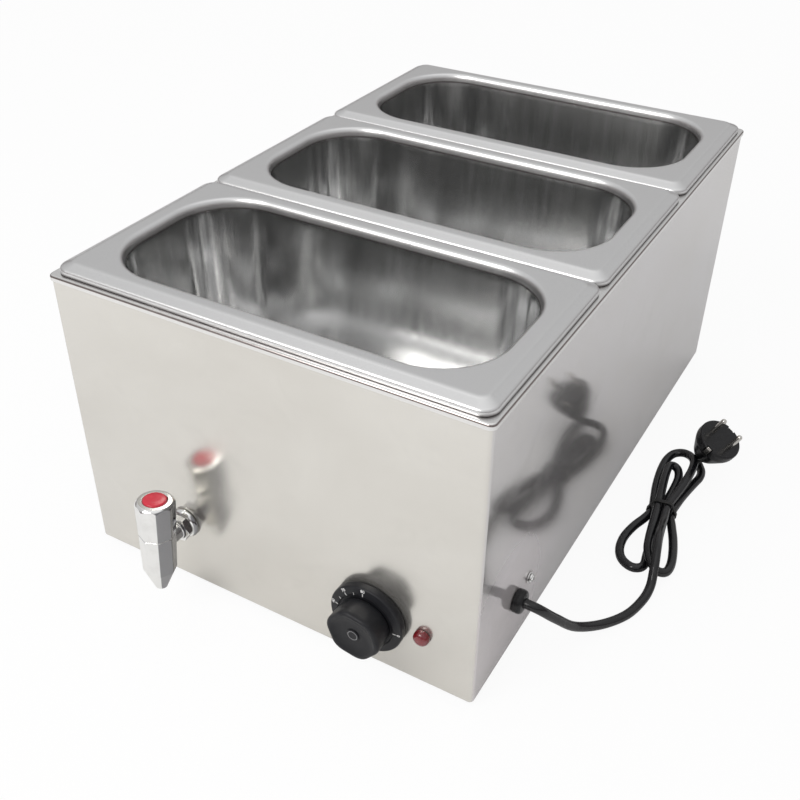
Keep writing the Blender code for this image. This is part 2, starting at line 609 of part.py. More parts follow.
def build_wiring():
    height = 0.018
    add_part("terminal_block", block(0.030, 0.056, height, 0.0015), CERAMIC,
             (0.118, -0.150, SHEET + GAP + height / 2))
    add_part("overheat_cutout", lathe([
        (0, 0.0600), (0.0080, 0.0600), (0.0080, 0.0690), (0.0115, 0.0690),
        (0.0115, UNDER_TANK), (0, UNDER_TANK)], 16), BLACK, (0.060, 0.060, 0))
    for name, radius, step, controls in LEADS:
        add_rod(name, smooth_path(controls, step), radius, BLACK, 0)


# ================================================================ earth screw
def build_earth_screw():
    add_part("earth_screw", lathe([
        (0, -0.0120), (0.0018, -0.0120), (0.0020, -0.0115), (0.0020, 0.0016), (0.0036, 0.0016),
        (0.0036, 0.0024), (0.0026, 0.0036), (0, 0.0040)], 16), CHROME, *EARTH_AXIS)
    bore = 0.0022
    add_part("earth_washer", washer(bore, 0.0048, GAP, 0.0013, 16, 0.0002), CHROME, *EARTH_AXIS)
    add_part("earth_nut", hex_nut(bore, 0.0044, -0.0050, BEHIND_PANEL, 2), BRASS, *EARTH_AXIS)


# ================================================================ mains cord
def build_cord_entry():
    bore = 0.0040
    add_part("cord_bushing", lathe([
        (bore, -0.0130), (0.0068, -0.0130), (0.0070, -0.0125), (0.0070, GAP), (0.0086, GAP),
        (0.0091, 0.0010), (0.0092, 0.0042), (0.0088, 0.0062), (0.0078, 0.0073),
        (0.0056, 0.0078), (bore, 0.0078)], 20, ring=True), BLACK, *CORD_AXIS)
    add_part("cord_lock_nut", hex_nut(0.0073, 0.0115, -0.0062, BEHIND_PANEL), BLACK, *CORD_AXIS)


# the tied hank's own frame: u runs from its near end to its far end, v across, w up
TIE = Vector((0.2205, -0.0010, TABLE_Z + 0.0062))
U_AXIS = Vector((-0.142, 0.990, 0)).normalized()
V_AXIS = Vector((0.990, 0.142, 0)).normalized()
W_AXIS = Vector((0, 0, 1))
MM = 0.001


def in_hank(u, v, w):
    """A point given in millimetres from the tie."""
    return TIE + (U_AXIS * u + V_AXIS * v + W_AXIS * w) * MM


# the plug's frame: its origin is the centre of the pin face, local +Z the way the pins point
PLUG_AXIS = Vector((0.44, -0.17, 0.882)).normalized()
PIN_ROW = Vector((0.889, -0.220, -0.400))
PIN_ROW = (PIN_ROW - PLUG_AXIS * PIN_ROW.dot(PLUG_AXIS)).normalized()
PLUG_FACE = Vector((0.2434, 0.0748, 0.0361))
PLUG_TAIL = PLUG_FACE - PLUG_AXIS * 0.0370
PLUG_ROT = Matrix((PIN_ROW, PLUG_AXIS.cross(PIN_ROW), PLUG_AXIS)).transposed().to_euler()
PLUG_FRAME = Matrix.Translation(PLUG_FACE) @ PLUG_ROT.to_matrix().to_4x4()

CORD_FROM_CASING = (      # x, y, z: out of the bushing and down to the table
    (0.1500, CORD_Y, CORD_Z), (0.1630, CORD_Y, CORD_Z), (0.1820, CORD_Y, CORD_Z),
    (0.1895, -0.1988, 0.0425), (0.1990, -0.1878, 0.0283), (0.2092, -0.1718, 0.0108),
    (0.2226, -0.1492, -0.0008), (0.2347, -0.1272, -0.0043), (0.2403, -0.1065, -0.0043))
CORD_HANK = (             # u, v, w in millimetres
    (-94, 7.7, 1.0), (-85, 7.6, 7.8), (-77, 6.8, 13.8), (-66, 5.6, 16.8), (-50, 4.4, 15.6),
    (-35, 4.0, 12.0), (-20, 3.9, 9.0), (0, 3.9, 7.8), (18, 8.5, 9.5), (34, 12.8, 11.6),
    (50, 15.6, 12.6), (64, 15.8, 12.0), (75, 11.6, 9.6), (81, 4.0, 6.8), (79, -3.8, 4.6),
    (70, -8.4, 3.0), (57, -10.4, 1.6), (43, -10.8, 0.6), (30, -10.4, 0), (15, -9, 0),
    (0, -8, 0), (-12, -11.6, 0), (-27, -18.6, 0), (-43, -23.4, 0), (-57, -24.0, 0),
    (-68, -20.8, 0), (-74.6, -14, 0), (-75.6, -6.8, 0), (-70, -1.6, 0), (-55, -1.6, 0),
    (-25, -1, 0), (0, 0, 0), (18, 2, 0), (34, 4.6, 0.8), (48, 6.0, 2.8), (56.5, 4.0, 4.8),
    (59.5, -0.4, 6.2), (56, -4.2, 7.2), (45, -5.0, 7.8), (30, -4.8, 8), (15, -4.2, 7.9),
    (0, -3.9, 7.8), (-20, -3.6, 8.0), (-45, -3.0, 8.2), (-60, -1.4, 8.2), (-71, 3.0, 7.2),
    (-76.4, 9.6, 3.8), (-72.5, 16.2, 1.0), (-62, 18.6, 0), (-47, 17.8, 0), (-30, 15, 0),
    (-15, 11.3, 0), (0, 8, 0), (20, 11.4, -0.5), (37, 15.6, -1.5), (52, 20.0, -2.3),
    (63, 23.4, -2.4))
CORD_TO_PLUG = (          # x, y, z
    (0.2335, 0.0735, -0.0044), (0.2300, 0.0792, -0.0036), (0.2270, 0.0810, -0.0004))


def build_cord():
    route = [*CORD_FROM_CASING, *(in_hank(*point) for point in CORD_HANK), *CORD_TO_PLUG,
             PLUG_TAIL - PLUG_AXIS * 0.0014, PLUG_TAIL + PLUG_AXIS * 0.0070]
    add_rod("power_cord", smooth_path(route, 0.0135), 0.0037, BLACK, 2)


def build_cord_tie():
    """A band round the hank, sized in millimetres."""
    half_width, centre_w = 1.8, 3.9
    inner, outer = (12.6, 8.4, 4.0), (13.5, 9.3, 4.9)     # half v, half w, corner radius

    def band(u, size):
        return [in_hank(u, p.x, centre_w + p.y) for p in rounded_rect(*size, 0)]

    add_part("cord_tie", loft([band(-half_width, inner), band(half_width, inner),
                               band(half_width, outer), band(-half_width, outer)],
                              closed=True), RUBBER)


def build_plug():
    """A turned body with two recesses for the side earth contacts, and two round pins."""
    body_r, pin_offset = 0.0195, 0.0095
    plug = add_part("plug_body", lathe([
        (0, -0.0290), (0.0043, -0.0290), (0.0043, -0.0326), (0.0054, -0.0326),
        (0.0064, -0.0318), (0.0084, -0.0298), (0.0118, -0.0250), (0.0152, -0.0180),
        (0.0184, -0.0110), (body_r, -0.0080), (body_r, -0.0012), (0.0185, 0.0), (0, 0)], 28),
        BLACK, PLUG_FACE, PLUG_ROT)
    pin_profile = ((0, -0.0057), (0.0024, -0.0057), (0.0024, 0.0176), (0.0016, 0.0189),
                   (0, 0.0190))
    for side, tag in ((1, "a"), (-1, "b")):
        recess = add_cutter(plug, "cut_plug_recess_" + tag, block(0.0065, 0.0058, 0.0140))
        recess.matrix_world = PLUG_FRAME @ Matrix.Translation((0, side * body_r, -0.003))
        socket = add_cutter(plug, "cut_plug_pin_" + tag, cylinder(0.00245, -0.006, 0.004, 12))
        pin = add_part("plug_pin_" + tag, lathe(pin_profile, 12), CHROME)
        for obj in (socket, pin):
            obj.matrix_world = PLUG_FRAME @ Matrix.Translation((side * pin_offset, 0, 0))


# ================================================================ build
build_shell()
build_base_plate()
build_feet()
build_tank()
build_pan("pan_front", -PAN_PITCH)
build_pan("pan_middle", 0.0)
build_pan("pan_rear", PAN_PITCH)
build_heating_element()
build_sensor()
build_thermostat()
build_bezel()
build_knob()
build_lamp()
build_tap_body()
build_tap_handle()
build_tap_mounting()
build_drain()
build_wiring()
build_earth_screw()
build_cord_entry()
build_cord()
build_cord_tie()
build_plug()
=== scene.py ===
# A countertop bain-marie: a steel casing round a heated water tank, three food pans hung in
# the tank, a dial, a lamp and a drain tap on the front, and a tied mains cord on the right.
# Metres, Z up. The front faces -Y, the right side faces +X; the rubber feet stand at TABLE_Z.
import json
from functools import cached_property
from math import atan2, cos, degrees, pi, radians, sin, sqrt

import bmesh
import bpy
from mathutils import Matrix, Vector

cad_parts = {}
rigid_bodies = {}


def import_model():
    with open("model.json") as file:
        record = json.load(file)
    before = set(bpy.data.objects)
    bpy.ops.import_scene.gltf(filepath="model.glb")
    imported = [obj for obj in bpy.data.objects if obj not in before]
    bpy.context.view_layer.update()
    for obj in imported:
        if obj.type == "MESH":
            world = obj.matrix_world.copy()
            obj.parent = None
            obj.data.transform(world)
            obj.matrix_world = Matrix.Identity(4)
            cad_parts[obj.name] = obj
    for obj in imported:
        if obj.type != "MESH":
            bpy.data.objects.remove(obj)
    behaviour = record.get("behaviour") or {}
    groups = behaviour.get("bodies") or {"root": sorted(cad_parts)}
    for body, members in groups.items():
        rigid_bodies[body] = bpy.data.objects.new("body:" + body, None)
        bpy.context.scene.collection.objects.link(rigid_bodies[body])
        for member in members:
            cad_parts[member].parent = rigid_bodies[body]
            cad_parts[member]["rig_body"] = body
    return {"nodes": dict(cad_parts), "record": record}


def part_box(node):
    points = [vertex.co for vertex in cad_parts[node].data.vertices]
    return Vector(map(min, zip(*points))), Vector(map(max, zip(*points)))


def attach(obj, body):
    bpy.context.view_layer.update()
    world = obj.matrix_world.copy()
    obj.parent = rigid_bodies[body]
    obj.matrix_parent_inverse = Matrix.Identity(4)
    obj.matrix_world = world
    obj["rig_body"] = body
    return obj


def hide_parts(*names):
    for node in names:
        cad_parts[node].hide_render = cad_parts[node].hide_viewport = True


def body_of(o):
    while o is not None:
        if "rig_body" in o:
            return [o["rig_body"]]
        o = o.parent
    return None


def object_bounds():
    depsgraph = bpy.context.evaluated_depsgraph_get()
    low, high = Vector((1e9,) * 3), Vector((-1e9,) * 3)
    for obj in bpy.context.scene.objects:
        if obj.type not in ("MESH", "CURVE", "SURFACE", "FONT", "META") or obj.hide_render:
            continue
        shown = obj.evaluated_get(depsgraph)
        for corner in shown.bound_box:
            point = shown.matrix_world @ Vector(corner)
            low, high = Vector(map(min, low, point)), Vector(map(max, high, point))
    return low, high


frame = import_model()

CAD_BOX = [list(v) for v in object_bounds()]
SCENE = bpy.context.scene


# ================================================================ places, all from the frame
def low(node):
    return Vector(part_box(node)[0])


def high(node):
    return Vector(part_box(node)[1])


def middle(node):
    return (low(node) + high(node)) / 2


def on_front(place):
    """A frame on the front wall whose z points out of it."""
    return Matrix.Translation(place) @ Matrix.Rotation(pi / 2, 4, 'X')


def on_right(place):
    """A frame on the right wall whose z points out of it."""
    return Matrix.Translation(place) @ Matrix.Rotation(pi / 2, 4, 'Y')


def upright(x, y):
    return Matrix.Translation((x, y, 0))


HALF_W, HALF_D = high("outer_shell").x, high("outer_shell").y
FRONT, RIGHT = -HALF_D, HALF_W
TABLE_Z = CAD_BOX[0][2]
SHEET = 0.0010  # sheet thickness
GAP = 0.0003  # clearance between touching parts
TANK_FLOOR = low("tank_liner").z + SHEET  # upper face of the tank floor
UNDER_TANK = TANK_FLOOR - SHEET - GAP
FLANGE_Z = high("tank_liner").z
PAN_TOP, PAN_BOTTOM = high("pan_front").z, low("pan_front").z
PAN_RIM_Z = FLANGE_Z + GAP  # the pan rim's lower edge

KNOB = Vector((middle("dial_bezel").x, FRONT, middle("dial_bezel").z))
LAMP = Vector((middle("indicator_body").x, FRONT, middle("indicator_body").z))
TAP = Vector((middle("tap_rosette").x, FRONT, middle("tap_rosette").z))
CORD = Vector((RIGHT, middle("cord_bushing").y, middle("cord_bushing").z))
EARTH = Vector((RIGHT, middle("earth_washer").y, middle("earth_washer").z))
AT_KNOB, AT_LAMP, AT_TAP = on_front(KNOB), on_front(LAMP), on_front(TAP)
AT_CORD, AT_EARTH = on_right(CORD), on_right(EARTH)
# the tap's own upright frame, leaning slightly about X
ON_TAP = Matrix.Translation((TAP.x, -0.29569, 0.06899)) @ Matrix.Rotation(radians(-5.1), 4, 'X')
DIAL_SCREW_X = 0.014  # dial screws, either side of the knob axis
DRAIN_Y, GLAND_Y = middle("drain_seat").y, middle("sensor_gland").y
LEG_X, LEG_Y = 0.105, 0.205  # where the heater's legs pass the tank floor


# ================================================================ shader nodes
class Nodes:
    """A node tree, with short calls for the nodes used here."""

    def __init__(self, tree):
        self.tree = tree

    @cached_property
    def coords(self):
        return self.add("ShaderNodeTexCoord").outputs["Object"]

    def add(self, kind, **settings):
        node = self.tree.nodes.new(kind)
        for key, value in settings.items():
            setattr(node, key, value)
        return node

    def put(self, socket, value):
        if isinstance(value, bpy.types.NodeSocket):
            self.tree.links.new(value, socket)
        elif isinstance(value, tuple) and len(value) == 3 and len(socket.default_value) == 4:
            socket.default_value = (*value, 1)
        else:
            socket.default_value = value

    def geometry(self, output):
        return self.add("ShaderNodeNewGeometry").outputs[output]

    def at(self, stretch=(1, 1, 1), shift=(0, 0, 0), turn=(0, 0, 0)):
        node = self.add("ShaderNodeMapping")
        self.put(node.inputs["Vector"], self.coords)
        node.inputs["Scale"].default_value = stretch
        node.inputs["Location"].default_value = shift
        node.inputs["Rotation"].default_value = turn
        return node.outputs[0]

    def noise(self, scale=1.0, detail=2, rough=0.5, warp=0.0,
              stretch=(1, 1, 1), shift=(0, 0, 0), at=None):
        node = self.add("ShaderNodeTexNoise")
        self.put(node.inputs["Vector"], at or self.at(stretch, shift))
        settings = {"Scale": scale, "Detail": detail, "Roughness": rough, "Distortion": warp}
        for key, value in settings.items():
            node.inputs[key].default_value = value
        return node.outputs["Fac"]

    def cells(self, at, scale, feature='F1'):
        node = self.add("ShaderNodeTexVoronoi", feature=feature)
        self.put(node.inputs["Vector"], at)
        node.inputs["Scale"].default_value = scale
        return node.outputs["Distance"]

    def span(self, value, over=(0, 1), to=(0, 1), smooth=False):
        """Carry value from the range `over` to the range `to`, clamped."""
        kind = 'SMOOTHSTEP' if smooth else 'LINEAR'
        node = self.add("ShaderNodeMapRange", clamp=True, interpolation_type=kind)
        for socket, x in zip(node.inputs[:5], (value, *over, *to)):
            self.put(socket, x)
        return node.outputs[0]

    def do(self, operation, a, b=0.0):
        node = self.add("ShaderNodeMath", operation=operation)
        for socket, x in zip(node.inputs, (a, b, 0.0)):
            self.put(socket, x)
        return node.outputs[0]

    def plus(self, total, *others):
        for other in others:
            total = self.do('ADD', total, other)
        return total

    def times(self, product, *others):
        for other in others:
            product = self.do('MULTIPLY', product, other)
        return product

    def one_minus(self, value):
        return self.do('SUBTRACT', 1.0, value)

    def mix(self, amount, under, over):
        node = self.add("ShaderNodeMix", data_type='RGBA')
        self.put(node.inputs[0], amount)
        self.put(node.inputs[6], under)
        self.put(node.inputs[7], over)
        return node.outputs[2]

    def split(self, vector):
        node = self.add("ShaderNodeSeparateXYZ")
        self.put(node.inputs[0], vector)
        return tuple(node.outputs)

    def radius(self, x, y):
        return self.do('SQRT', self.plus(self.do('POWER', x, 2.0), self.do('POWER', y, 2.0)))

    def bump(self, height, strength, distance, under=None):
        node = self.add("ShaderNodeBump")
        node.inputs["Strength"].default_value = strength
        node.inputs["Distance"].default_value = distance
        self.put(node.inputs["Height"], height)
        if under is not None:
            self.put(node.inputs["Normal"], under)
        return node.outputs[0]

    def scratches(self, at, scale, thin, sparse):
        """Fine hairline marks: edges of stretched cells, kept only here and there."""
        edge = self.cells(at, scale, 'DISTANCE_TO_EDGE')
        line = self.span(edge, over=(0, thin), to=(1, 0))
        keep = self.span(self.noise(scale * 0.35, at=at), over=(sparse, sparse + 0.06))
        return self.times(line, keep)


class Material(Nodes):
    """One Principled shader fed by procedural textures in the piece's own coordinates."""

    def __init__(self, name):
        self.material = bpy.data.materials.new(name)
        self.material.use_nodes = True
        super().__init__(self.material.node_tree)
        self.shader = self.tree.nodes["Principled BSDF"]

    def finish(self, **inputs):
        for key, value in inputs.items():
            self.put(self.shader.inputs[key.replace("_", " ")], value)
        return self.material


# ================================================================ materials
def casing_material():
    """Brushed sheet, shinier on the sides; painted reflection makes the front and back lighter and
    warmer and the sides darker and cooler.
    """
    m = Material("casing_steel")
    normal_y = m.split(m.geometry("True Normal"))[1]
    front = m.span(m.do('ABSOLUTE', normal_y), over=(0.45, 0.75))
    front_grain = m.noise(stretch=(30, 30, 2600))
    side_grain = m.noise(stretch=(40, 40, 1500), shift=(3, 1, 2), detail=3, rough=0.6)
    grain = m.plus(m.times(front_grain, front), m.times(side_grain, m.one_minus(front)))
    streak = m.noise(stretch=(6, 6, 420), shift=(5, 2, 0), detail=4, rough=0.55)
    cloud = m.noise(scale=7.5, detail=5, rough=0.6, warp=0.4, stretch=(1, 1, 1.5), shift=(7, 7, 3))
    smear = m.noise(scale=24, detail=6, rough=0.62, warp=0.8, shift=(1, 4, 9))
    smear = m.span(smear, over=(0.52, 0.78))
    marks_at = m.at(stretch=(30, 30, 9), shift=(0, 0, 4), turn=(0.35, 0.2, 0.1))
    marks = m.scratches(marks_at, scale=1.6, thin=0.006, sparse=0.60)
    # painted reflection: front and back lighter and warmer, the sides darker and cooler
    side_shaded_tone, front_lit_tone = (0.705, 0.688, 0.692), (0.740, 0.722, 0.680)
    color = m.mix(front, side_shaded_tone, front_lit_tone)
    # a painted pink reflection on the right side, fading out round a point near its front edge
    near = m.add("ShaderNodeVectorMath", operation='DISTANCE')
    m.put(near.inputs[0], m.coords)
    near.inputs[1].default_value = (RIGHT, -0.215, 0.045)
    pink_reflection = m.span(near.outputs["Value"], over=(0.02, 0.11), to=(0.45, 0), smooth=True)
    pink_reflection = m.times(pink_reflection, m.one_minus(front))
    color = m.mix(pink_reflection, color, (0.80, 0.72, 0.76))
    color = m.mix(m.span(cloud, over=(0.32, 0.70), to=(0, 0.40)), color, (0.60, 0.575, 0.53))
    color = m.mix(m.span(streak, over=(0.30, 0.70), to=(0, 0.04)), color, (0.84, 0.83, 0.82))
    rough = m.plus(m.span(front, to=(0.085, 0.185)),
                   m.span(grain, over=(0.35, 0.68), to=(-0.01, 0.03)),
                   m.times(smear, 0.06), m.times(marks, 0.03))
    # metallic is lowered where the pink reflection is painted
    metallic = m.plus(m.span(front, to=(0.80, 0.86)), m.times(smear, -0.05), m.times(pink_reflection, -0.65))
    bump = m.bump(grain, strength=0.015, distance=0.00001)
    waves = m.noise(scale=5.5, shift=(2, 2, 2))
    bump = m.bump(waves, strength=0.30, distance=0.0011, under=bump)
    bump = m.bump(marks, strength=0.06, distance=0.00002, under=bump)
    return m.finish(Base_Color=color, Metallic=metallic, Roughness=rough, Normal=bump)


def tank_material():
    """Pressed steel with spots and a scale line inside, and a dark painted reflection curving round
    the flange edge.
    """
    m = Material("tank_steel")
    scale_line_z = 0.118
    z = m.split(m.coords)[2]
    inside = m.span(z, over=(FLANGE_Z - 0.016, FLANGE_Z - 0.008), to=(1, 0))
    grain = m.noise(stretch=(900, 45, 45), detail=3, rough=0.6)
    spots = m.span(m.noise(scale=60, detail=5, rough=0.6, warp=0.3), over=(0.56, 0.74))
    off_line = m.do('ABSOLUTE', m.do('SUBTRACT', z, scale_line_z))
    scale_line = m.times(m.span(off_line, over=(0, 0.004), to=(1, 0), smooth=True),
                         m.noise(scale=40, detail=5, rough=0.7, stretch=(1, 1, 6)))
    color = m.mix(m.times(spots, inside, 0.35), (0.80, 0.795, 0.785), (0.66, 0.645, 0.61))
    color = m.mix(m.times(scale_line, 0.45), color, (0.86, 0.85, 0.82))
    # painted reflection: a dark curve on the flange's rounded outer edge, where it faces outwards
    # and partly up
    normal_z = m.split(m.geometry("Normal"))[2]
    lip = m.times(m.span(normal_z, over=(0.02, 0.16)),
                  m.span(normal_z, over=(0.62, 0.86), to=(1, 0)), m.one_minus(inside))
    color = m.mix(m.times(lip, 0.80), color, (0.17, 0.125, 0.115))
    rough = m.plus(m.span(grain, over=(0.3, 0.7), to=(0.13, 0.25)),
                   m.times(spots, 0.08), m.times(scale_line, 0.25))
    bump = m.bump(grain, strength=0.15, distance=0.00005)
    return m.finish(Base_Color=color, Metallic=0.98, Roughness=rough, Normal=bump)


def pan_material():
    """Matt blasted rim, drawn and polished bowl, and painted shade in a dark line under the rim."""
    m = Material("pan_steel")
    z = m.split(m.coords)[2]
    deep = m.times(m.span(z, over=(PAN_TOP - 0.0032, PAN_TOP - 0.0008), to=(1, 0)),
                   m.span(z, over=(PAN_RIM_Z - 0.0010, PAN_RIM_Z + 0.0002), to=(1, 0)))
    blast = m.noise(scale=2600, rough=0.6)
    draw = m.noise(stretch=(120, 120, 9), detail=3, rough=0.55)
    cloud = m.noise(scale=16, detail=4, rough=0.6, warp=0.5, shift=(4, 1, 0))
    marks_at = m.at(stretch=(20, 60, 60), shift=(1, 0, 0), turn=(0, 0, 0.7))
    marks = m.scratches(marks_at, scale=2.0, thin=0.008, sparse=0.60)
    clouding = m.span(cloud, over=(0.35, 0.7), to=(0, 0.12))
    color = m.mix(clouding, (0.735, 0.735, 0.735), (0.62, 0.62, 0.615))
    color = m.mix(m.times(deep, 0.5), color, (0.80, 0.80, 0.795))
    # painted shade: a dark band along the rim's lower edge, where it sits on the tank flange
    shade_under_rim = m.times(m.span(z, over=(PAN_RIM_Z + 0.0007, PAN_RIM_Z + 0.0015), to=(1, 0)),
                        m.span(z, over=(PAN_RIM_Z - 0.0010, PAN_RIM_Z - 0.0003)), 0.75)
    color = m.mix(shade_under_rim, color, (0.15, 0.13, 0.13))
    matt = m.span(blast, over=(0.3, 0.7), to=(0.25, 0.38))
    polished = m.plus(m.span(draw, over=(0.3, 0.7), to=(0.10, 0.17)), m.times(marks, 0.1))
    rough = m.plus(m.times(matt, m.one_minus(deep)), m.times(polished, deep),
                   m.span(cloud, over=(0.5, 0.8), to=(0, 0.05)))
    bump = m.bump(blast, strength=0.10, distance=0.00003)
    bump = m.bump(draw, strength=0.03, distance=0.0003, under=bump)
    bump = m.bump(marks, strength=0.2, distance=0.00003, under=bump)
    return m.finish(Base_Color=color, Metallic=0.98, Roughness=rough, Normal=bump)


def chrome_material(name, shade=False):
    """Plating with a dull film and rare pits; shade paints shade onto the faces turned to the
    right.
    """
    m = Material(name)
    peel = m.noise(scale=420, detail=3)
    film = m.noise(scale=90, detail=5, rough=0.65, warp=0.5, shift=(3, 3, 3))
    film = m.span(film, over=(0.50, 0.75))
    pit = m.times(m.span(m.cells(m.at(), scale=900), over=(0, 0.10), to=(1, 0)),
                  m.span(m.noise(scale=130, shift=(9, 0, 0)), over=(0.60, 0.70)))
    color = m.mix(m.times(film, 0.30), (0.86, 0.86, 0.85), (0.58, 0.57, 0.56))
    color = m.mix(m.times(pit, 0.5), color, (0.35, 0.33, 0.30))
    if shade:
        # painted shade on the faces turned to the right
        normal_x = m.split(m.geometry("Normal"))[0]
        shade_to_right = m.span(normal_x, over=(0.50, 0.62), smooth=True)
        color = m.mix(shade_to_right, color, (0.27, 0.27, 0.28))
    rough = m.plus(m.span(peel, over=(0.3, 0.7), to=(0.04, 0.10)), m.times(film, 0.06))
    bump = m.bump(peel, strength=0.08, distance=0.0002)
    return m.finish(Base_Color=color, Metallic=1.0, Roughness=rough, Normal=bump)


def turned_material(name, base, dark, rough, rings=2600):
    """Small machined hardware: fine turning marks round its own axis, tarnish in patches."""
    m = Material(name)
    x, y, z = m.split(m.coords)
    polar = m.add("ShaderNodeCombineXYZ")
    m.put(polar.inputs[0], m.times(m.radius(x, y), rings))
    m.put(polar.inputs[1], m.times(z, rings * 0.6))
    marks = m.noise(at=polar.outputs[0], detail=3, rough=0.6)
    patch = m.span(m.noise(scale=140, detail=5, rough=0.62, warp=0.3), over=(0.42, 0.74))
    color = m.mix(m.times(patch, 0.55), base, dark)
    rough = m.plus(m.span(marks, over=(0.3, 0.7), to=rough), m.times(patch, 0.10))
    bump = m.bump(marks, strength=0.22, distance=0.00004)
    return m.finish(Base_Color=color, Metallic=1.0, Roughness=rough, Normal=bump)


def plastic_material(name, base, worn, rough, grain, depth, strength, specular):
    """Moulded plastic or rubber: eroded texture, flow clouds, paler rubbed edges, some dust."""
    m = Material(name)
    texture = m.noise(scale=grain, detail=3, rough=0.6)
    flow = m.noise(scale=120, detail=4, rough=0.55, warp=0.6, shift=(5, 5, 5))
    dust = m.span(m.noise(scale=900, detail=4, rough=0.7, shift=(2, 8, 1)), over=(0.60, 0.80))
    rub = m.times(m.span(m.geometry("Pointiness"), over=(0.505, 0.56)),
                  m.span(flow, over=(0.30, 0.65), to=(0.3, 1)))
    color = m.mix(m.span(flow, over=(0.3, 0.75), to=(0, 0.30)), base, worn)
    color = m.mix(m.times(rub, 0.45), color, worn)
    color = m.mix(m.times(dust, 0.06), color, (0.55, 0.53, 0.50))
    roughness = m.plus(m.span(texture, over=(0.3, 0.7), to=(rough - 0.05, rough + 0.07)),
                       m.times(rub, -0.08), m.times(dust, 0.08))
    return m.finish(Base_Color=color, Roughness=roughness, Specular_IOR_Level=specular,
                    Normal=m.bump(texture, strength, depth))


def cable_material():
    """Semi-gloss PVC with small scuffs and a little dust."""
    m = Material("cable_sheath")
    texture = m.noise(scale=700, detail=3, rough=0.55)
    scuff = m.noise(scale=160, detail=5, rough=0.7, warp=0.3, shift=(4, 2, 8))
    scuff = m.span(scuff, over=(0.56, 0.76))
    dust = m.span(m.noise(scale=1500, detail=3, rough=0.7, shift=(2, 8, 1)), over=(0.62, 0.80))
    color = m.mix(m.times(scuff, 0.45), (0.0085, 0.0085, 0.0100), (0.034, 0.034, 0.037))
    color = m.mix(m.times(dust, 0.06), color, (0.5, 0.49, 0.47))
    rough = m.plus(m.span(texture, over=(0.3, 0.7), to=(0.13, 0.20)), m.times(scuff, 0.08))
    return m.finish(Base_Color=color, Roughness=rough, Specular_IOR_Level=0.50,
                    Normal=m.bump(texture, strength=0.05, distance=0.0002))


def red_material(name, base, deep, ribs=False):
    """Glossy red plastic; ribs add the lens's faceted pattern, a painted highlight at the centre
    and clear coat.
    """
    m = Material(name)
    flow = m.noise(scale=260, detail=4, rough=0.6, warp=0.6)
    texture = m.noise(scale=1100)
    speck = m.span(m.noise(scale=1700, detail=3, rough=0.7, shift=(1, 2, 3)), over=(0.64, 0.78))
    color = m.mix(m.span(flow, over=(0.32, 0.70), to=(0, 0.45)), base, deep)
    color = m.mix(m.times(speck, 0.10), color, (0.6, 0.5, 0.5))
    if ribs:
        rib_pitch, sectors = 0.00085, 18.0
        x, y, _ = m.split(m.coords)
        radius = m.radius(x, y)
        wave = m.do('SINE', m.times(radius, 2 * pi / rib_pitch))
        facet = m.times(wave, m.do('SINE', m.times(m.do('ARCTAN2', y, x), sectors)))
        color = m.mix(m.span(facet, over=(-0.6, 0.6), to=(0, 0.55)), color, deep)
        # painted highlight: the lens colour lighter towards its centre
        centre_highlight = (base[0] * 1.5, base[1] * 1.9, base[2] * 1.9)
        color = m.mix(m.span(radius, over=(0, 0.0060), to=(0.30, 0)), color, centre_highlight)
        m.finish(Subsurface_Weight=0.15, Subsurface_Scale=0.002,
                 Coat_Weight=0.6, Coat_Roughness=0.06)
    return m.finish(Base_Color=color, Specular_IOR_Level=0.55,
                    Roughness=m.span(texture, over=(0.3, 0.7), to=(0.12, 0.22)),
                    Normal=m.bump(texture, strength=0.07, distance=0.0001))


def pale_material(name, base, stain, rough=0.5):
    """Ceramic or print: finely rough, stained in patches."""
    m = Material(name)
    texture = m.noise(scale=1400, detail=4, rough=0.65)
    patch = m.span(m.noise(scale=70, detail=5, rough=0.6, warp=0.4), over=(0.40, 0.75))
    return m.finish(Base_Color=m.mix(m.times(patch, 0.5), base, stain),
                    Roughness=m.span(texture, over=(0.3, 0.7), to=(rough - 0.06, rough + 0.10)),
                    Normal=m.bump(texture, strength=0.35, distance=0.00005))


LOOK = {
    "casing_steel": casing_material(),
    "tank_steel": tank_material(),
    "pan_steel": pan_material(),
    "rubber_black": plastic_material(
        "rubber_black", base=(0.016, 0.016, 0.016), worn=(0.050, 0.049, 0.047),
        rough=0.68, grain=1800, depth=0.00006, strength=0.5, specular=0.35),
    "screw_steel": turned_material(
        "screw_steel", base=(0.68, 0.68, 0.675), dark=(0.42, 0.40, 0.37), rough=(0.18, 0.34)),
    "heater_sheath": turned_material(
        "heater_sheath", base=(0.40, 0.385, 0.365), dark=(0.20, 0.175, 0.16),
        rough=(0.30, 0.48), rings=900),
    "brass": turned_material(
        "brass", base=(0.76, 0.58, 0.28), dark=(0.45, 0.30, 0.13), rough=(0.20, 0.36)),
    "ceramic": pale_material("ceramic", base=(0.82, 0.80, 0.74), stain=(0.66, 0.62, 0.54)),
    "plastic_black": plastic_material(
        "plastic_black", base=(0.0115, 0.0118, 0.0140), worn=(0.026, 0.0265, 0.030),
        rough=0.40, grain=2600, depth=0.00004, strength=0.30, specular=0.24),
    "lens_red": red_material(
        "lens_red", base=(0.22, 0.014, 0.020), deep=(0.07, 0.004, 0.007), ribs=True),
    "plastic_red": red_material(
        "plastic_red", base=(0.62, 0.030, 0.055), deep=(0.46, 0.016, 0.034)),
    "chrome": chrome_material("chrome"),
    "cable_sheath": cable_material(),
    "pin_nickel": turned_material(
        "pin_nickel", base=(0.74, 0.72, 0.68), dark=(0.55, 0.52, 0.47),
        rough=(0.10, 0.22), rings=1500),
}
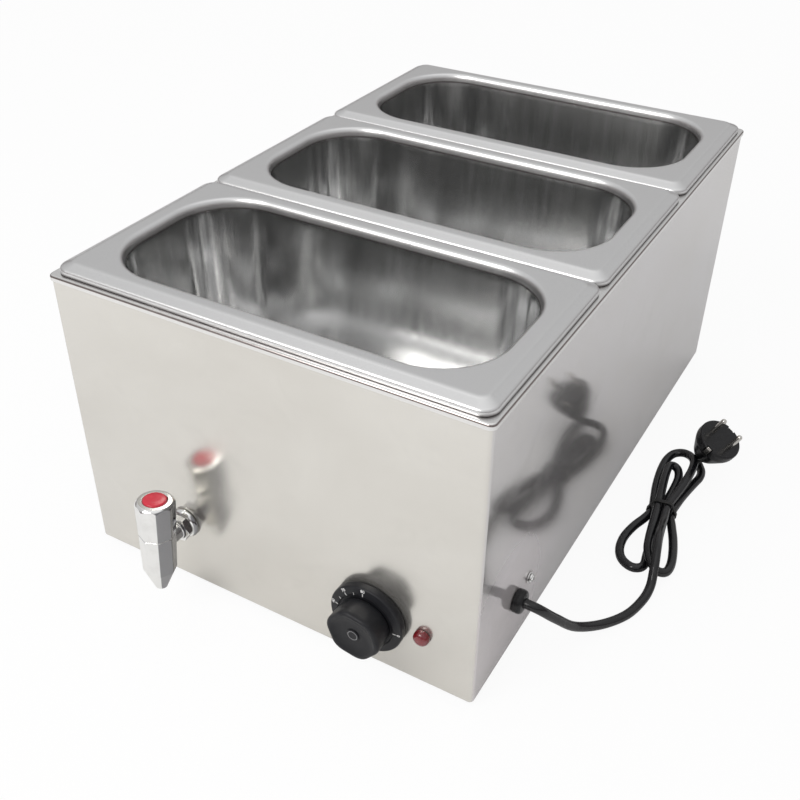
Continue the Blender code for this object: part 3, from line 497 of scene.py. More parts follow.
# the tap's chrome, with painted shade on its faces turned to the right
TAP_CHROME_SHADED = chrome_material("chrome_tap_shaded", shade=True)
BLACK_GLOSS = plastic_material(
    "black_gloss", base=(0.0080, 0.0080, 0.0090), worn=(0.022, 0.022, 0.024),
    rough=0.26, grain=2600, depth=0.00003, strength=0.20, specular=0.35)
DIAL_PRINT = pale_material(
    "dial_print", base=(0.92, 0.92, 0.91), stain=(0.62, 0.62, 0.61), rough=0.55)
RING_PRINT = pale_material(
    "ring_print", base=(0.30, 0.30, 0.31), stain=(0.20, 0.20, 0.21), rough=0.45)


# ================================================================ shapes
def round_rect(half_x, half_y, radius, z, steps):
    """A rounded rectangle round the z axis, with `steps` segments in each corner."""
    x, y = half_x - radius, half_y - radius
    loop = []
    for cx, cy, start in ((x, y, 0), (-x, y, 90), (-x, -y, 180), (x, -y, 270)):
        for i in range(steps + 1):
            angle = radians(start + 90 * i / steps)
            loop.append(Vector((cx + radius * cos(angle), cy + radius * sin(angle), z)))
    return loop


def around(radii, heights):
    """A loop of evenly spaced points round the z axis."""
    n = len(radii)
    if not isinstance(heights, list):
        heights = [heights] * n
    return [Vector((r * cos(2 * pi * i / n), r * sin(2 * pi * i / n), z))
            for i, (r, z) in enumerate(zip(radii, heights))]


def circle(radius, z, n=96):
    return around([radius] * n, z)


def polygon(sides, corner, soft):
    """Radii of a regular polygon, 12 to a side, its corners cut back to corner * soft."""
    n = 12 * sides
    radii = []
    for i in range(n):
        off_flat = (2 * pi * i / n) % (2 * pi / sides) - pi / sides
        radii.append(min(corner * cos(pi / sides) / cos(off_flat), corner * soft))
    return radii


def octagon(corner, z):
    return around(polygon(8, corner, soft=0.985), z)


def arc(centre, radius, start, end, n):
    """Points (out, up) on an arc, angles in degrees from outwards towards up."""
    angles = [radians(start + (end - start) * i / n) for i in range(n + 1)]
    return [(centre[0] + radius * cos(a), centre[1] + radius * sin(a)) for a in angles]


def curve(start, pull, end, n):
    """Points on a quadratic Bezier curve in two dimensions."""
    return [tuple(start[k] * (1 - t) ** 2 + pull[k] * 2 * t * (1 - t) + end[k] * t * t
                  for k in (0, 1)) for t in (i / n for i in range(n + 1))]


def loft(loops, closed=False):
    """Skin equal loops in order; closed joins last to first, otherwise both ends are capped."""
    bm = bmesh.new()
    rings = [[bm.verts.new(p) for p in loop] for loop in loops]
    n = len(rings[0])
    pairs = list(zip(rings, rings[1:]))
    if closed:
        pairs.append((rings[-1], rings[0]))
    for a, b in pairs:
        for i in range(n):
            j = (i + 1) % n
            bm.faces.new((a[i], a[j], b[j], b[i]))
    if not closed:
        bm.faces.new(rings[0])
        bm.faces.new(rings[-1])
    bmesh.ops.remove_doubles(bm, verts=bm.verts, dist=1e-7)
    return bm


def rounded(profile, radius, ring):
    """A (radius, height) profile with rounded corners, so that turned edges catch light."""
    steps = 3
    out, n = [], len(profile)
    for i, p in enumerate(profile):
        if not ring and i in (0, n - 1):
            out.append(p)
            continue
        before, corner, after = Vector(profile[i - 1]), Vector(p), Vector(profile[(i + 1) % n])
        u, v = before - corner, after - corner
        d = min(radius, u.length * 0.45, v.length * 0.45)
        if d < 2e-5 or u.angle(v) > radians(172) or corner.x < 1e-6:
            out.append(p)
            continue
        start, end = corner + u.normalized() * d, corner + v.normalized() * d
        for j in range(steps + 1):
            t = j / steps
            q = start * (1 - t) ** 2 + corner * 2 * t * (1 - t) + end * t * t
            out.append((q.x, q.y))
    return out


def lathe(profile, n=96, ring=False, edge=0.0003):
    """Turn a (radius, height) profile round z in n steps; ring closes the profile on itself."""
    bm = bmesh.new()
    if edge:
        profile = rounded(profile, edge, ring)
    verts = [bm.verts.new((x, 0, z)) for x, z in profile]
    edges = [bm.edges.new(pair) for pair in zip(verts, verts[1:])]
    if ring:
        edges.append(bm.edges.new((verts[-1], verts[0])))
    bmesh.ops.spin(bm, geom=verts + edges, cent=(0, 0, 0), axis=(0, 0, 1), angle=2 * pi,
                   steps=n, use_merge=True)
    bmesh.ops.remove_doubles(bm, verts=bm.verts, dist=1e-6)
    return bm


def cylinder(radius, z0, z1, n=48):
    return lathe([(0, z0), (radius, z0), (radius, z1), (0, z1)], n, edge=0)


def washer(bore, radius, z0, z1, n, edge=0.0003):
    return lathe([(bore, z0), (radius, z0), (radius, z1), (bore, z1)], n, ring=True, edge=edge)


def box(x, y, z):
    bm = bmesh.new()
    bmesh.ops.create_cube(bm, size=1.0, matrix=Matrix.Diagonal((x, y, z, 1)))
    return bm


def hex_nut(bore, corner, z0, z1):
    """Six flats, a round bore, and the curved chamfer a turned corner leaves on each flat."""
    outline = polygon(6, corner, soft=0.997)
    n = len(outline)
    flat = corner * cos(pi / 6)
    drop = [(radius - flat) * 0.42 for radius in outline]
    return loft([
        circle(bore, z0 + 0.0003, n), circle(bore + 0.0003, z0, n), circle(flat - 0.0001, z0, n),
        around(outline, [z0 + 0.0002 + d for d in drop]),
        around(outline, [z1 - 0.0002 - d for d in drop]),
        circle(flat - 0.0001, z1, n), circle(bore + 0.0003, z1, n),
        circle(bore, z1 - 0.0003, n)], closed=True)


def smooth_path(stops, step, max_turn):
    """A Catmull-Rom path through the stops, finer where it bends."""
    p = [Vector(stop) for stop in stops]
    p = [p[0] * 2 - p[1]] + p + [p[-1] * 2 - p[-2]]
    out = []
    for a, b, c, d in zip(p, p[1:], p[2:], p[3:]):
        turn = (c - a).angle(d - b)
        n = max(1, int(round((c - b).length / step)), int(round(turn / max_turn)))
        for j in range(n):
            t = j / n
            out.append(0.5 * ((2 * b) + (c - a) * t + (2 * a - 5 * b + 4 * c - d) * t * t
                              + (3 * b - a - 3 * c + d) * t ** 3))
    out.append(p[-2])
    return out


def tube(path, radius, n=24):
    """A swept round rod with softly rounded ends."""
    rings = []
    u = (path[1] - path[0]).normalized().orthogonal().normalized()
    for i, p in enumerate(path):
        along = (path[min(i + 1, len(path) - 1)] - path[max(i - 1, 0)]).normalized()
        u = (u - along * u.dot(along)).normalized()
        v = along.cross(u)
        rings.append([p + (u * cos(2 * pi * k / n) + v * sin(2 * pi * k / n)) * radius
                      for k in range(n)])

    def moved(ring, centre, scale, push=Vector()):
        return [centre + (q - centre) * scale + push for q in ring]
    first, last = path[0], path[-1]
    start_out, end_out = (first - path[1]).normalized(), (last - path[-2]).normalized()
    soft = 0.25  # how much of the radius the end rounding takes
    return loft([moved(rings[0], first, 1 - soft),
                 moved(rings[0], first, 1.0, -start_out * radius * soft),
                 *rings[1:-1],
                 moved(rings[-1], last, 1.0, -end_out * radius * soft),
                 moved(rings[-1], last, 1 - soft)])


def temporary(bm):
    bmesh.ops.recalc_face_normals(bm, faces=bm.faces)
    mesh = bpy.data.meshes.new("tmp")
    bm.to_mesh(mesh)
    bm.free()
    obj = bpy.data.objects.new("tmp", mesh)
    SCENE.collection.objects.link(obj)
    return obj


def evaluated_mesh(obj):
    bpy.context.view_layer.update()
    return bpy.data.meshes.new_from_object(
        obj.evaluated_get(bpy.context.evaluated_depsgraph_get()))


def cut(bm, tools):
    """Boolean bm with each (bmesh, matrix[, operation]) tool; the default is to subtract."""
    base = temporary(bm)
    used = []
    for tool, place, *operation in tools:
        cutter = temporary(tool)
        cutter.matrix_world = place
        boolean = base.modifiers.new("cut", 'BOOLEAN')
        boolean.operation = operation[0] if operation else 'DIFFERENCE'
        boolean.solver = 'EXACT'
        boolean.object = cutter
        used.append(cutter)
    mesh = evaluated_mesh(base)
    out = bmesh.new()
    out.from_mesh(mesh)
    for obj in used + [base]:
        data = obj.data
        bpy.data.objects.remove(obj, do_unlink=True)
        bpy.data.meshes.remove(data)
    bpy.data.meshes.remove(mesh)
    bmesh.ops.remove_doubles(out, verts=out.verts, dist=1e-7)
    return out


HERE = Matrix.Identity(4)
REPLACED = set()


def piece(name, bm, slot, node=None, body="housing", at=HERE, smooth=35, look=None,
          weigh=True, bevel=0.0):
    """A finished mesh replaces its CAD node, rides on its body and has its slot's material."""
    bmesh.ops.recalc_face_normals(bm, faces=bm.faces)
    mesh = bpy.data.meshes.new(name)
    bm.to_mesh(mesh)
    bm.free()
    mesh.materials.append(look or LOOK[slot])
    mesh.shade_smooth()
    mesh.set_sharp_from_angle(angle=radians(smooth))
    obj = bpy.data.objects.new(name, mesh)
    SCENE.collection.objects.link(obj)
    obj.matrix_world = at
    if bevel:
        edge = obj.modifiers.new("edge", 'BEVEL')
        edge.width, edge.segments = bevel, 2
        edge.limit_method, edge.angle_limit = 'ANGLE', radians(smooth)
        edge.harden_normals = False
    if weigh:
        weighted = obj.modifiers.new("weighted", 'WEIGHTED_NORMAL')
        weighted.keep_sharp, weighted.weight = True, 50
    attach(obj, body)
    if node:
        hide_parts(node)
        REPLACED.add(node)


# ================================================================ casing
SHELL_R = 0.0035  # plan radius of the corners
SHELL_BOTTOM, SHELL_TOP = low("outer_shell").z, high("outer_shell").z
RETURN_W = 0.014  # reach of the bottom edge turned inwards


def shell_loop(inset, z, radius=None):
    radius = max(SHELL_R - inset if radius is None else radius, 0.0004)
    return round_rect(HALF_W - inset, HALF_D - inset, radius, z, steps=10)


# (inset, z) down the outside: a hair-fine groove near z = 0.004, then the bottom edge
SHELL_OUTSIDE = [
    (0, SHELL_TOP), (0, 0.0046), (0.00002, 0.0042), (0.00006, 0.0040), (0.00006, 0.0038),
    (0.00002, 0.0036), (0, 0.0033), (0, SHELL_BOTTOM + 0.0016), (0.00010, SHELL_BOTTOM + 0.0010),
    (0.00035, SHELL_BOTTOM + 0.0005), (0.0007, SHELL_BOTTOM + 0.00015), (0.0012, SHELL_BOTTOM)]
shell = loft([shell_loop(*row) for row in SHELL_OUTSIDE] + [
    shell_loop(RETURN_W, SHELL_BOTTOM, 0.0008), shell_loop(RETURN_W, SHELL_BOTTOM + SHEET, 0.0008),
    shell_loop(SHEET, SHELL_BOTTOM + SHEET), shell_loop(SHEET, SHELL_TOP)], closed=True)
WALL_HOLES = [  # radius, place
    (0.0083, AT_TAP), (0.0050, AT_KNOB), (0.0052, AT_LAMP),
    (0.0018, on_front(KNOB - Vector((DIAL_SCREW_X, 0, 0)))),
    (0.0018, on_front(KNOB + Vector((DIAL_SCREW_X, 0, 0)))),
    (0.0073, AT_CORD), (0.0024, AT_EARTH)]
piece("casing", cut(shell, [(cylinder(r, -0.004, 0.004), at) for r, at in WALL_HOLES]),
      "casing_steel", "outer_shell", smooth=30)

# ================================================================ tank
TANK_HALF_X, TANK_HALF_Y = 0.1525, 0.2465  # the well, inside its walls
FLANGE_HALF_X, FLANGE_HALF_Y = high("tank_liner").x, high("tank_liner").y
LIP_Z = 0.2382  # lower edge of the flange's turned-down lip


def well(inset, radius, z):
    return round_rect(TANK_HALF_X - inset, TANK_HALF_Y - inset, radius, z, steps=12)


def flange(out, radius, z):
    return round_rect(FLANGE_HALF_X + out, FLANGE_HALF_Y + out, radius, z, steps=12)


WELL_INSIDE = [  # inset, plan radius, height above the floor
    (0.0300, 0.006, -0.0004), (0.0110, 0.010, 0), (0.0078, 0.0118, 0.0004),
    (0.0060, 0.013, 0.0013), (0.0048, 0.0144, 0.0030), (0.0042, 0.015, 0.0055)]
loops = [well(inset, radius, TANK_FLOOR + rise) for inset, radius, rise in WELL_INSIDE]
loops += [well(-out, 0.020 + out, z)
          for out, z in arc((0.0020, FLANGE_Z - 0.0020), 0.0020, 180, 90, 6)]
loops += [flange(out, 0.0048 + out, z)
          for out, z in arc((-0.0019, FLANGE_Z - 0.0019), 0.0019, 90, 0, 8)]
loops += [
    flange(0, 0.0048, LIP_Z + 0.0002), flange(-0.0002, 0.0046, LIP_Z),
    flange(-SHEET, 0.0038, LIP_Z), flange(-SHEET, 0.0038, FLANGE_Z - SHEET),
    well(-0.0025, 0.0222, FLANGE_Z - SHEET), well(-0.0010, 0.0210, FLANGE_Z - 0.0024),
    well(0.0032, 0.016, TANK_FLOOR + 0.0050), well(0.0054, 0.0136, TANK_FLOOR + 0.0003),
    well(0.0108, 0.0102, TANK_FLOOR - SHEET), well(0.0300, 0.006, TANK_FLOOR - SHEET - 0.0002)]
FLOOR_HOLES = [  # radius, x, y: drain, heater legs, sensor gland
    (0.0083, TAP.x, DRAIN_Y), (0.0043, -LEG_X, LEG_Y), (0.0043, LEG_X, LEG_Y),
    (0.0034, 0.0, GLAND_Y)]
piece("tank", cut(loft(loops), [(cylinder(r, -0.006, 0.006, 40),
                                 Matrix.Translation((x, y, TANK_FLOOR)))
                                for r, x, y in FLOOR_HOLES]),
      "tank_steel", "tank_liner", smooth=40)

# ================================================================ pans
RIM_HALF_X = high("pan_front").x
RIM_HALF_Y = (high("pan_front").y - low("pan_front").y) / 2
RIM_R, PAN_SHEET = 0.0110, 0.0008
MOUTH_HALF_X, MOUTH_HALF_Y, MOUTH_R = 0.1490, 0.0700, 0.0500


def rim(inset, z):
    radius = max(RIM_R - 0.55 * inset, 0.006)
    return round_rect(RIM_HALF_X - inset, RIM_HALF_Y - inset, radius, z, steps=24)


def bowl(inset, z):
    return round_rect(MOUTH_HALF_X - inset, MOUTH_HALF_Y - inset, MOUTH_R - inset, z, steps=24)


def pan_mesh():
    """From the floor's middle up the inside, over the rim, and back down the outside."""
    top, bottom, t = PAN_TOP, PAN_BOTTOM, PAN_SHEET
    loops = [bowl(0.052, bottom + t + 0.0006), bowl(0.0300, bottom + t + 0.0002)]
    loops += [bowl(*p) for p in curve((0.0215, bottom + t), (0.0100, bottom + t),
                                      (0.0090, bottom + t + 0.0130), 12)]
    loops += [bowl(0.0050, (top + bottom) / 2 + 0.010), bowl(0.0022, top - 0.0120)]
    loops += [bowl(*p) for p in curve((0.0013, top - 0.0052), (0.0006, top), (-0.0030, top), 10)]
    loops += [bowl(-0.0042, top)]
    loops += [rim(*p) for p in curve((0.0100, top), (0.0078, top), (0.0066, top - 0.00105), 6)]
    loops += [rim(0.0040, top - 0.00215)]
    loops += [rim(*p) for p in curve((0.0019, top - 0.00305), (0.0000, top - 0.0038),
                                     (0.0, top - 0.0058), 8)]
    loops += [rim(0.0, PAN_RIM_Z + 0.00015), rim(0.00015, PAN_RIM_Z), rim(t, PAN_RIM_Z),
              rim(t, top - 0.0057), rim(0.0022, top - 0.0040), rim(0.0070, top - 0.0019),
              rim(0.0094, top - t)]
    loops += [bowl(-0.0030, top - t), bowl(-0.0006, top - 0.0016),
              bowl(0.0013 - t, top - 0.0058), bowl(0.0022 - t, top - 0.0120)]
    loops += [bowl(*p) for p in curve((0.0090 - t, bottom + 0.0138), (0.0100 - t, bottom),
                                      (0.0215, bottom), 10)]
    loops += [bowl(0.0300, bottom + 0.0001), bowl(0.052, bottom + 0.0003)]
    return loft(loops)


for place in ("front", "middle", "rear"):
    node = "pan_" + place
    bm = pan_mesh()
    bmesh.ops.translate(bm, verts=bm.verts, vec=(0, middle(node).y, 0))
    piece("food_" + node, bm, "pan_steel", node, node + "_body", smooth=50)

# ================================================================ heating element
HEATER_Z, HEATER_R = 0.0912, 0.0040
LEG_BEND = 0.0098
TURN_R, TURN_Y = 0.035, 0.145  # the half circles and how far back or forward they lie

leg = [(LEG_Y, 0.0600), (LEG_Y, 0.0700)]  # y, z up one leg and round its bend
for i in range(9):
    angle = pi / 2 * i / 8
    leg.append((LEG_Y - LEG_BEND + LEG_BEND * cos(angle),
                HEATER_Z - LEG_BEND + LEG_BEND * sin(angle)))
heater = [Vector((-LEG_X, y, z)) for y, z in leg]
for turn_x, side in ((-2 * TURN_R, -1), (0.0, 1), (2 * TURN_R, -1)):
    for i in range(25):
        angle = pi * i / 24
        heater.append(Vector((turn_x - TURN_R * cos(angle),
                              side * TURN_Y + side * TURN_R * sin(angle), HEATER_Z)))
heater += [Vector((LEG_X, y, z)) for y, z in reversed(leg)]
piece("heater_loop", tube(heater, HEATER_R), "heater_sheath", "heating_element",
      weigh=False, smooth=50)

# ================================================================ dial plate and its print
BEZEL_R = (high("dial_bezel").x - low("dial_bezel").x) / 2
SLOPE_R0, SLOPE_W, SLOPE_DROP = 0.0226, 0.0057, 0.0007  # the face falls away outwards
FACE_Z = 0.0087
NUMBER_R = 0.02665
DIAL_SCALE = [  # number, angle in degrees
    (80, 94), (70, 131), (60, 168), (50, 205), (40, 242), (30, 279), (0, 357)]

plate = lathe([(0.0050, GAP), (0.0274, GAP), (0.0281, 0.0010), (BEZEL_R, 0.0026),
               (BEZEL_R, 0.0070), (BEZEL_R - 0.0007, 0.0080), (SLOPE_R0, FACE_Z),
               (0.0218, 0.0078), (0.0050, 0.0078)], 128, ring=True, edge=0.0006)
SCREW_POCKET = [(0, -0.001), (0.0018, -0.001), (0.0018, 0.0030),
                (0.0034, 0.0030), (0.0034, 0.012), (0, 0.012)]
pockets = [(lathe(SCREW_POCKET, 32, edge=0), Matrix.Translation((side * DIAL_SCREW_X, 0, 0)))
           for side in (-1, 1)]
piece("dial_plate", cut(plate, pockets), "plastic_black", "dial_bezel", at=AT_KNOB)


def dial_z(x, y):
    return FACE_Z - (sqrt(x * x + y * y) - SLOPE_R0) / SLOPE_W * SLOPE_DROP


def add_bar(bm, r0, r1, width, angle):
    """A thin raised bar lying along a radius of the dial."""
    c, s = cos(radians(angle)), sin(radians(angle))
    bottom, top = [], []
    for r, across in ((r0, -width / 2), (r1, -width / 2), (r1, width / 2), (r0, width / 2)):
        x, y = r * c - across * s, r * s + across * c
        bottom.append(bm.verts.new((x, y, dial_z(x, y) - 0.00003)))
        top.append(bm.verts.new((x, y, dial_z(x, y) + 0.00006)))
    bm.faces.new(bottom[::-1])
    bm.faces.new(top)
    for i in range(4):
        j = (i + 1) % 4
        bm.faces.new((bottom[i], bottom[j], top[j], top[i]))


def add_number(bm, number, angle):
    """A number standing on the sloping face, its head outwards."""
    text = bpy.data.curves.new("digits", 'FONT')
    text.body, text.size, text.extrude, text.offset = str(number), 0.0034, 0.000045, 0.00004
    text.align_x, text.align_y = 'CENTER', 'CENTER'
    obj = bpy.data.objects.new("digits", text)
    SCENE.collection.objects.link(obj)
    mesh = evaluated_mesh(obj)
    bpy.data.objects.remove(obj, do_unlink=True)
    digits = bmesh.new()
    digits.from_mesh(mesh)
    bmesh.ops.remove_doubles(digits, verts=digits.verts, dist=1e-6)
    place = Matrix.Translation((NUMBER_R * cos(radians(angle)), NUMBER_R * sin(radians(angle)), 0))
    place = place @ Matrix.Rotation(radians(angle - 90), 4, 'Z')
    for v in digits.verts:
        v.co = place @ v.co
        v.co.z += dial_z(v.co.x, v.co.y)
    digits.to_mesh(mesh)
    digits.free()
    bm.from_mesh(mesh)
    bpy.data.meshes.remove(mesh)


marks = bmesh.new()
for _, angle in DIAL_SCALE:
    add_bar(marks, 0.0224, 0.0248, 0.00052, angle)
for (_, angle), (_, following) in zip(DIAL_SCALE, DIAL_SCALE[1:-1]):
    add_bar(marks, 0.0224, 0.0243, 0.00038, (angle + following) / 2)
for number, angle in DIAL_SCALE:
    add_number(marks, number, angle)
piece("dial_marks", marks, "ceramic", at=AT_KNOB, look=DIAL_PRINT, weigh=False, smooth=20)

# ================================================================ knob
LOBES, LOBE_ANGLE = 6, radians(170)
GRIP = [  # radius, depth of the hollows between lobes, height
    (0.0052, 0, 0.0092), (0.0192, 0, 0.0092), (0.0199, 0.0001, 0.0094), (0.0203, 0.0002, 0.0101),
    (0.02055, 0.0005, 0.0131), (0.0208, 0.0008, 0.0165), (0.0210, 0.0010, 0.0196),
    (0.0212, 0.0012, 0.0224), (0.0212, 0.0013, 0.0236), (0.02105, 0.0013, 0.0246),
    (0.0206, 0.00125, 0.0255), (0.0200, 0.0012, 0.0260), (0.0192, 0.0011, 0.02625),
    (0.0182, 0.0009, 0.0262), (0.0173, 0.0007, 0.0259), (0.0164, 0.0005, 0.0253),
    (0.0140, 0.0003, 0.02455), (0.0110, 0.0001, 0.0241), (0.0070, 0, 0.0240),
    (0.0052, 0, 0.0240)]


def grip_loop(radius, hollow, z, n=216):
    return around([radius - hollow * (0.5 - 0.5 * cos(LOBES * (2 * pi * i / n - LOBE_ANGLE)))
                   for i in range(n)], z)


shaft_bore = cylinder(0.00305, 0.004, 0.0194, 40)
piece("knob_turn_grip", cut(loft([grip_loop(*row) for row in GRIP]), [(shaft_bore, HERE)]),
      "plastic_black", "knob_grip", "knob", AT_KNOB, smooth=50)
piece("knob_centre_disc", lathe([(0, 0.0243), (0.0049, 0.0243), (0.0049, 0.0247),
                                 (0.0043, 0.0249), (0, 0.0249)], 72, edge=0.00015),
      "plastic_black", "knob_badge", "knob", AT_KNOB)
piece("knob_centre_ring", washer(0.00345, 0.00385, 0.02488, 0.02499, 72, edge=0.00003),
      "ceramic", None, "knob", AT_KNOB, look=RING_PRINT)

# ================================================================ indicator lamp
piece("lamp_body", lathe([(0, -0.0160), (0.0044, -0.0160), (0.0050, -0.0150),
                          (0.0050, 0.0013), (0, 0.0013)], 72),
      "plastic_black", "indicator_body", at=AT_LAMP)
piece("lamp_lens", lathe([(0, 0.0016), (0.0052, 0.0016), (0.0052, 0.0004), (0.0061, 0.0004),
                          (0.0062, 0.0012), (0.0061, 0.0028), (0.0057, 0.0042), (0.0050, 0.0052),
                          (0.0039, 0.0059), (0.0026, 0.0063), (0, 0.0065)], 72),
      "lens_red", "indicator_lens", at=AT_LAMP, smooth=50)

# ================================================================ tap
NUT_BORE = 0.0082  # bore of the nuts and rings on the tap's pipe
SPOUT = [  # octagon corner radius, height
    (0.0127, 0.0), (0.0131, -0.0001), (0.0136, -0.0005), (0.0138, -0.0010), (0.0136, -0.0070),
    (0.0128, -0.0312), (0.0127, -0.0320), (0.0124, -0.0328), (0.0119, -0.0338),
    (0.0056, -0.0481), (0.0051, -0.0490)]
LEVER = [  # octagon corner radius, height
    (0.0134, 0.0003), (0.0137, 0.0006), (0.0140, 0.0014), (0.0150, 0.0270), (0.0150, 0.0330)]

spout = loft([octagon(*row) for row in SPOUT] + [circle(0.0046, -0.0497), circle(0.0042, -0.0500)])
stem = lathe([(0, -0.004), (0.0070, -0.004), (0.0070, -0.0195), (0.0079, -0.0200),
              (0.0079, -0.0555), (0.0073, -0.0568), (0, -0.0568)], 64)
stem_at = ON_TAP.inverted() @ on_front((TAP.x, FRONT - 0.0318, TAP.z))
spout = cut(spout, [(stem, stem_at, 'UNION'), (cylinder(0.0045, -0.060, 0.0), stem_at),
                    (cylinder(0.00408, -0.0260, 0.004), HERE),
                    (cylinder(0.0027, -0.055, -0.022), HERE)])
piece("tap_spout", spout, "chrome", "tap_body", at=ON_TAP, smooth=28, bevel=0.00018,
      look=TAP_CHROME_SHADED)
dome = lathe([(0, -0.002), (0.0156, -0.002), (0.0156, 0.0244), (0.0150, 0.0266),
              (0.0140, 0.0285), (0.0124, 0.0298), (0.0092, 0.0301), (0.0090, 0.0288),
              (0, 0.0288)], edge=0.0006)
lever = cut(loft([octagon(*row) for row in LEVER]),
            [(dome, HERE, 'INTERSECT'), (cylinder(0.00405, -0.003, 0.0160), HERE)])
piece("tap_lever_handle", lever, "chrome", "tap_handle", "tap_lever", ON_TAP, smooth=28,
      bevel=0.00018, look=TAP_CHROME_SHADED)
piece("tap_lever_cap", lathe([(0, 0.0290), (0.0086, 0.0290), (0.0088, 0.0293), (0.0088, 0.0304),
                              (0.0080, 0.0311), (0.0052, 0.0317), (0, 0.0319)], edge=0.0006),
      "plastic_red", "tap_handle_cap", "tap_lever", ON_TAP, smooth=50)
piece("tap_stem_pin", lathe([(0, -0.0215), (0.0036, -0.0215), (0.0040, -0.0211),
                             (0.0040, 0.0151), (0.0036, 0.0155), (0, 0.0155)], 48, edge=0.0002),
      "brass", "tap_spindle", "tap_lever", ON_TAP)
piece("tap_wall_ring", lathe([(NUT_BORE, GAP), (0.0120, GAP), (0.0125, 0.0008), (0.0125, 0.0018),
                              (0.0121, 0.0029), (0.0113, 0.0039), (0.0100, 0.0048),
                              (NUT_BORE, 0.0048)], ring=True),
      "chrome", "tap_rosette", at=AT_TAP, smooth=50, look=TAP_CHROME_SHADED)
piece("tap_nut", hex_nut(NUT_BORE, 0.0113, 0.0053, 0.0108), "chrome", "tap_front_nut",
      at=AT_TAP, look=TAP_CHROME_SHADED)
piece("tap_inner_nut", hex_nut(NUT_BORE, 0.0130, -0.0097, -0.0037), "brass", "tap_lock_nut",
      at=AT_TAP)
piece("drain_union", hex_nut(NUT_BORE, 0.0125, -0.0330, -0.0180), "brass", "drain_coupling",
      at=AT_TAP)

# ================================================================ fittings in the tank floor
piece("drain_ring", washer(NUT_BORE, 0.0135, TANK_FLOOR + GAP, TANK_FLOOR + 0.0016, 72),
      "brass", "drain_seat", at=upright(TAP.x, DRAIN_Y))
piece("drain_ring_nut", hex_nut(NUT_BORE, 0.0125, UNDER_TANK - 0.0050, UNDER_TANK),
      "brass", "drain_nut", at=upright(TAP.x, DRAIN_Y))
for side, tag in ((-1, "left"), (1, "right")):
    place = upright(side * LEG_X, LEG_Y)
    piece("heater_seal_" + tag, washer(0.0043, 0.0085, TANK_FLOOR + GAP, TANK_FLOOR + 0.0018, 48),
          "rubber_black", "element_gasket_" + tag, at=place)
    piece("heater_nut_" + tag, hex_nut(0.0043, 0.0085, UNDER_TANK - 0.0060, UNDER_TANK),
          "brass", "element_nut_" + tag, at=place)
piece("bulb", lathe([(0, -0.040), (0.0022, -0.040), (0.0030, -0.0392), (0.0030, 0.0392),
                     (0.0022, 0.040), (0, 0.040)], 48, edge=0.0006),
      "brass", "sensor_bulb", at=on_front((0.0, 0.012, TANK_FLOOR + 0.0060)))
piece("bulb_gland", lathe([(0.0013, 0.0684), (0.0058, 0.0684), (0.0058, UNDER_TANK),
                           (0.0031, UNDER_TANK), (0.0031, TANK_FLOOR + 0.0030),
                           (0.0013, TANK_FLOOR + 0.0030)], 48, ring=True),
      "brass", "sensor_gland", at=upright(0, GLAND_Y))

# ================================================================ feet
FOOT = [  # radius, height; hollow below for the bolt head
    (0.0024, -GAP), (0.0115, -GAP), (0.0118, -0.0012), (0.0125, TABLE_Z + 0.0016),
    (0.0122, TABLE_Z + 0.0004), (0.0112, TABLE_Z), (0.0056, TABLE_Z),
    (0.0050, TABLE_Z + 0.0006), (0.0050, TABLE_Z + 0.0042), (0.0024, TABLE_Z + 0.0042)]
FOOT_BOLT = [  # radius, height
    (0, TABLE_Z + 0.0016), (0.0030, TABLE_Z + 0.0017), (0.0037, TABLE_Z + 0.0024),
    (0.0040, TABLE_Z + 0.0039), (0.0019, TABLE_Z + 0.0039), (0.0019, 0.0060), (0, 0.0075)]
for tag in ("front_left", "front_right", "rear_left", "rear_right"):
    centre = middle("foot_" + tag)
    place = upright(centre.x, centre.y)
    piece("rubber_foot_" + tag, lathe(FOOT, 72, ring=True, edge=0.0004),
          "rubber_black", "foot_" + tag, at=place)
    piece("foot_bolt_" + tag, lathe(FOOT_BOLT, 48, edge=0.0002),
          "screw_steel", "foot_screw_" + tag, at=place)

# ================================================================ earth screw
bolt = lathe([(0, -0.0120), (0.0018, -0.0120), (0.0020, -0.0115), (0.0020, 0.0016),
              (0.0036, 0.0016), (0.0036, 0.0024), (0.0031, 0.0032), (0.0021, 0.0038),
              (0, 0.0040)], 64)
cross_slots = [(box(0.0042, 0.0007, 0.0030),
                Matrix.Translation((0, 0, 0.0043)) @ Matrix.Rotation(angle, 4, 'Z'))
               for angle in (0.3, 0.3 + pi / 2)]
piece("earth_bolt", cut(bolt, cross_slots), "chrome", "earth_screw", at=AT_EARTH)
piece("earth_ring", washer(0.0022, 0.0048, GAP, 0.0013, 64, edge=0.0002),
      "chrome", "earth_washer", at=AT_EARTH)

# ================================================================ mains cord
piece("cord_grommet", lathe([(0.0040, -0.0130), (0.0068, -0.0130), (0.0070, -0.0125),
                             (0.0070, GAP), (0.0086, GAP), (0.0091, 0.0010), (0.0092, 0.0042),
                             (0.0088, 0.0062), (0.0078, 0.0073), (0.0056, 0.0078),
                             (0.0040, 0.0078)], ring=True, edge=0.0004),
      "plastic_black", "cord_bushing", at=AT_CORD, smooth=45, look=BLACK_GLOSS)

CORD_R = 0.0037
# the bundle's frame: its middle at the strap, its length, its width, up
TIE = Vector((0.2205, -0.0010, TABLE_Z + 0.0062))
ALONG = Vector((-0.142, 0.990, 0)).normalized()
ACROSS = Vector((0.990, 0.142, 0)).normalized()
UP = Vector((0, 0, 1))
